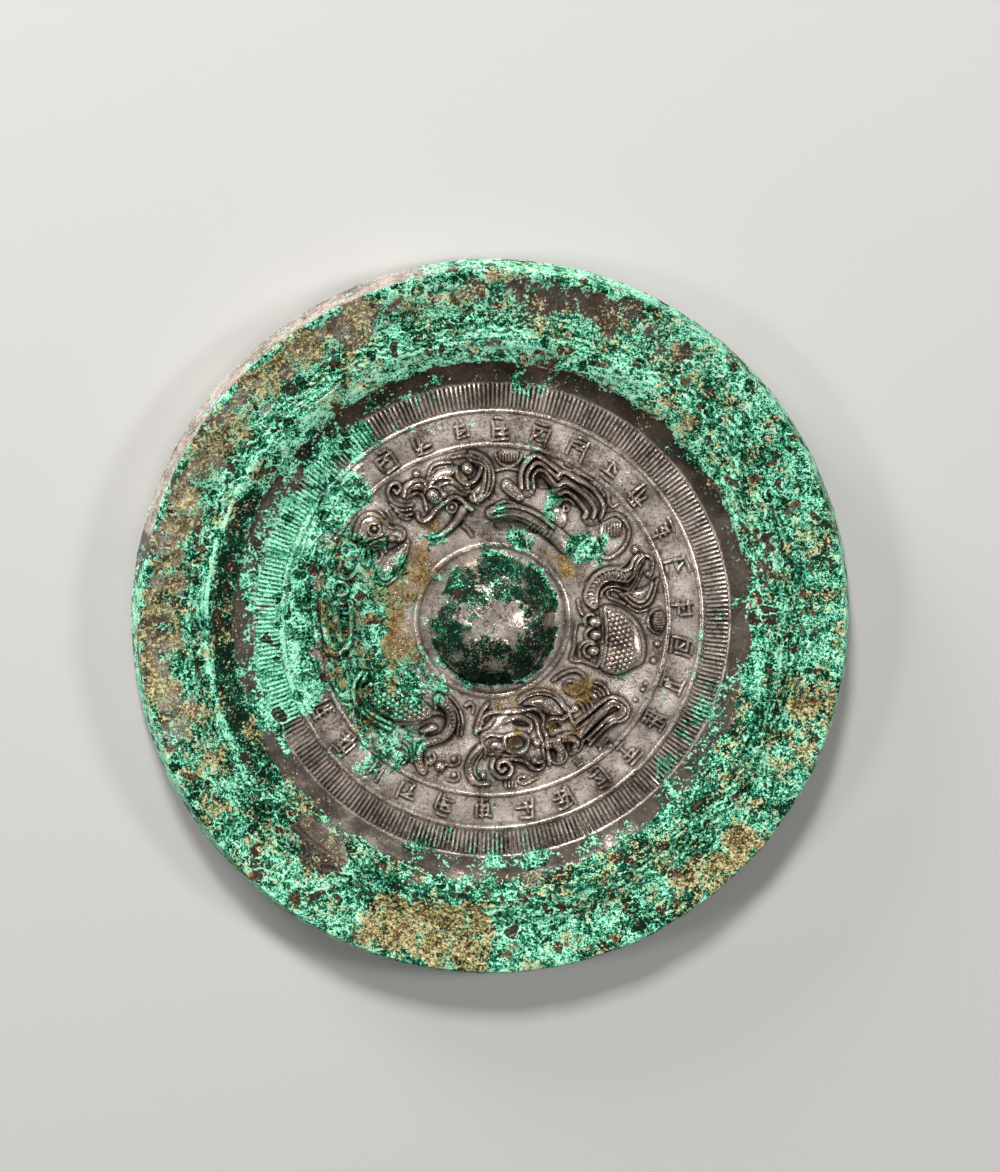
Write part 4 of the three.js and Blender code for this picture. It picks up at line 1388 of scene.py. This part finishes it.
green_cover = (share("crust") + (mottled - 0.5) * 1.5 + (specks - 0.5) * 1.6).step(0.44, 0.56)
soil_cover = (share("soil") + (mottled - 0.5) * 1.3 + (specks - 0.5) * 2.2).step(0.44, 0.60)
rust_cover = (share("rust") + (specks - 0.5) * 2.2 + (lumps - 0.5) * 1.4).step(0.55, 0.72)
crusted = larger(green_cover, soil_cover)
covered = larger(crusted, rust_cover)
level, deep = share("hollow"), share("depth")
# The painted shade of the hollows, and the painted highlight, partly wear, of the crests.
painted_shade, wear_and_highlight = larger(level, 0), larger(level * -1, 0)

# Bare bronze: silver-grey, browner where it has tarnished, brighter on the crests with wear and
# painted highlight, and near black with painted shade and some grime in the hollows.
bare_tone = lumps * 0.4 + specks * 0.4 + dust * 0.35 + clumps * 0.45 - 0.28
bare_tone = (bare_tone + wear_and_highlight * 0.42).step(0.36, 0.66)
bare = bare_tone.over((0.155, 0.102, 0.078), (1.0, 0.87, 0.76))
brown = (share("tarnish") + (lumps - 0.5) * 1.3 + (specks - 0.5) * 1.1).step(0.3, 0.8)
bare = (brown * 0.92).over(bare, (0.030, 0.021, 0.013))
grime_and_shade = (clumps + (specks - 0.5) * 0.4).step(0.48, 0.62)
grime_and_shade = grime_and_shade.over((0.004, 0.003, 0.002), (0.030, 0.015, 0.005))
bare = (painted_shade * 0.97).over(bare, grime_and_shade)

# Green crust: near-black plates, mid-green body, pale mint seams and pit lips.
vein = pen.maths("ABSOLUTE", (grain(1.7, 4, 0.62) - 0.5) * 11)
vein = larger(1 - vein, 0)
green_tone = (
    0.46
    + (clumps - 0.5) * 0.3
    + (mottled - 0.5) * (1.1 - on_comb * 0.4)
    + (specks - 0.5) * (1.65 - on_comb * 0.8)
    + (dust - 0.5) * 1.3
    + on_comb * 0.02
    + vein * 0.12
    + ripple * on_slope * 0.07
    - deep * 0.12
)
plate_tone = 0.34 + (specks - 0.5) * 1.3 + (dust - 0.5) * 1.0 - deep * 0.05
# The crust is darker with painted shade in the hollows.
green_tone = (
    green_tone
    + (plate_tone - green_tone) * dark_plate * 0.85
    + pale_seam * 0.15
    - pit * 0.3
    + pit_lip * 0.14
    - (painted_shade - 0.2) * 0.24
)
green_stops = [
    (0.28, (0.001, 0.013, 0.005)),
    (0.38, (0.004, 0.056, 0.024)),
    (0.46, (0.008, 0.175, 0.083)),
    (0.54, (0.042, 0.390, 0.210)),
    (0.62, (0.165, 0.640, 0.395)),
    (0.73, (0.450, 0.900, 0.650)),
]
green = pen.add("ShaderNodeValToRGB", {"stops": green_stops}, {"Fac": green_tone})
teal = grain(7, 3).step(0.50, 0.66) * specks.step(0.40, 0.60)
green = (teal * 0.2).over(green, (0.006, 0.165, 0.115))
green = (plate.step(0.95, 0.96) * dark_plate * 0.8).over(green, (0.038, 0.016, 0.011))
green = grain(0.5, 2).step(0.66, 0.72).over(green, (0.56, 0.80, 0.62))

# Tan soil: granules from dark brown to pale straw.
soil_tone = clumps * 0.3 + mottled + specks * 1.3 + dust * 0.8 - 1.2
soil_stops = [
    (0.32, (0.018, 0.015, 0.007)),
    (0.42, (0.078, 0.062, 0.021)),
    (0.50, (0.250, 0.202, 0.076)),
    (0.60, (0.465, 0.400, 0.175)),
    (0.74, (0.710, 0.660, 0.400)),
]
tan = pen.add("ShaderNodeValToRGB", {"stops": soil_stops}, {"Fac": soil_tone})
inner = 1 - radius.step(0.030, 0.034)
tan = (inner * (0.2 + specks.step(0.4, 0.6) * 0.5)).over(tan, (0.240, 0.115, 0.030))

# Red oxide lies in single specks on the crust and soil, and in spots over all.
colour = soil_cover.over(green_cover.over(bare, green), tan)
red_speck = (grain(0.6, 3) + (share("soil") - 0.35) * 0.12).step(0.60, 0.68)
colour = (red_speck * 0.75 * crusted).over(colour, (0.13, 0.045, 0.022))
oxide = specks.step(0.46, 0.62).over((0.045, 0.015, 0.010), (0.165, 0.038, 0.016))
colour = (rust_cover * 0.9).over(colour, oxide)
surface = mottled * 0.45 + specks * 0.35 + dust * 0.2 - pit * 0.25 - dark_plate * 0.1
surface = surface * (covered * 0.66 + 0.34)
bump = {"Strength": 0.8, "Distance": 0.0004, "Height": surface}
roughness = 0.25 + covered * 0.37 + painted_shade * 0.3 + brown * 0.16 - wear_and_highlight * 0.06 + (specks - 0.5) * 0.3
shader = pen.add(
    "ShaderNodeBsdfPrincipled",
    inputs={
        "Base Color": colour,
        "Metallic": (1 - covered) * (1 - painted_shade * 0.6) * (1 - brown * 0.8) * 0.8,
        "Roughness": roughness,
        "Specular IOR Level": 0.15,
        "Normal": pen.add("ShaderNodeBump", inputs=bump),
    },
)
pen.add("ShaderNodeOutputMaterial", inputs={"Surface": shader})
finished.materials.clear()
finished.materials.append(finish)

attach(mirror, "root")
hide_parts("mirror")

# ---------------------------------------------------------------------------
# The floor: one wide matt pale sheet.

FLOOR_HALF = 3.0
sheet = bpy.data.meshes.new("floor")
quarters = [(-1, -1), (1, -1), (1, 1), (-1, 1)]
sheet.from_pydata([(FLOOR_HALF * a, FLOOR_HALF * b, 0) for a, b in quarters], [], [(0, 1, 2, 3)])
floor = bpy.data.objects.new("floor", sheet)
floor.location.z = low.z
bpy.context.scene.collection.objects.link(floor)
matt = bpy.data.materials.new("pale_floor")
matt.use_nodes = True
paint = matt.node_tree.nodes["Principled BSDF"].inputs
paint["Base Color"].default_value = (0.54, 0.53, 0.51, 1)
paint["Roughness"].default_value = 0.9
sheet.materials.append(matt)

# ---------------------------------------------------------------------------
# The light: a soft lamp beyond the top of the disc, weaker ones at the right, at the left
# and nearly overhead, a low one at the upper left for the edge wall, and a dim surround.

for name, azimuth, elevation, distance, size, power in [  # degrees, metres, watts
    ("main_lamp", 100, 45, 1.1, 0.2, 9.8),
    ("right_lamp", 5, 40, 1.1, 0.2, 4.2),
    ("left_lamp", 185, 38, 1.1, 0.2, 3),
    ("overhead_lamp", 300, 74, 1.5, 0.3, 1.2),
    ("edge_lamp", 132, 12, 0.9, 0.3, 7),
]:
    a, e = math.radians(azimuth), math.radians(elevation)
    away = Vector((math.cos(a) * math.cos(e), math.sin(a) * math.cos(e), math.sin(e)))
    data = bpy.data.lights.new(name, "AREA")
    data.size, data.energy = size, power
    lit = bpy.data.objects.new(name, data)
    lit.location = disc_middle + away * distance
    lit.rotation_euler = away.to_track_quat("Z", "Y").to_euler()
    bpy.context.scene.collection.objects.link(lit)

surround = bpy.data.worlds.new("surround")
surround.use_nodes = True
glow = surround.node_tree.nodes["Background"].inputs
glow["Color"].default_value = (0.92, 0.95, 1.0, 1)
glow["Strength"].default_value = 0.07
bpy.context.scene.world = surround
bpy.context.scene.view_settings.view_transform = "Standard"

bpy.context.view_layer.update()
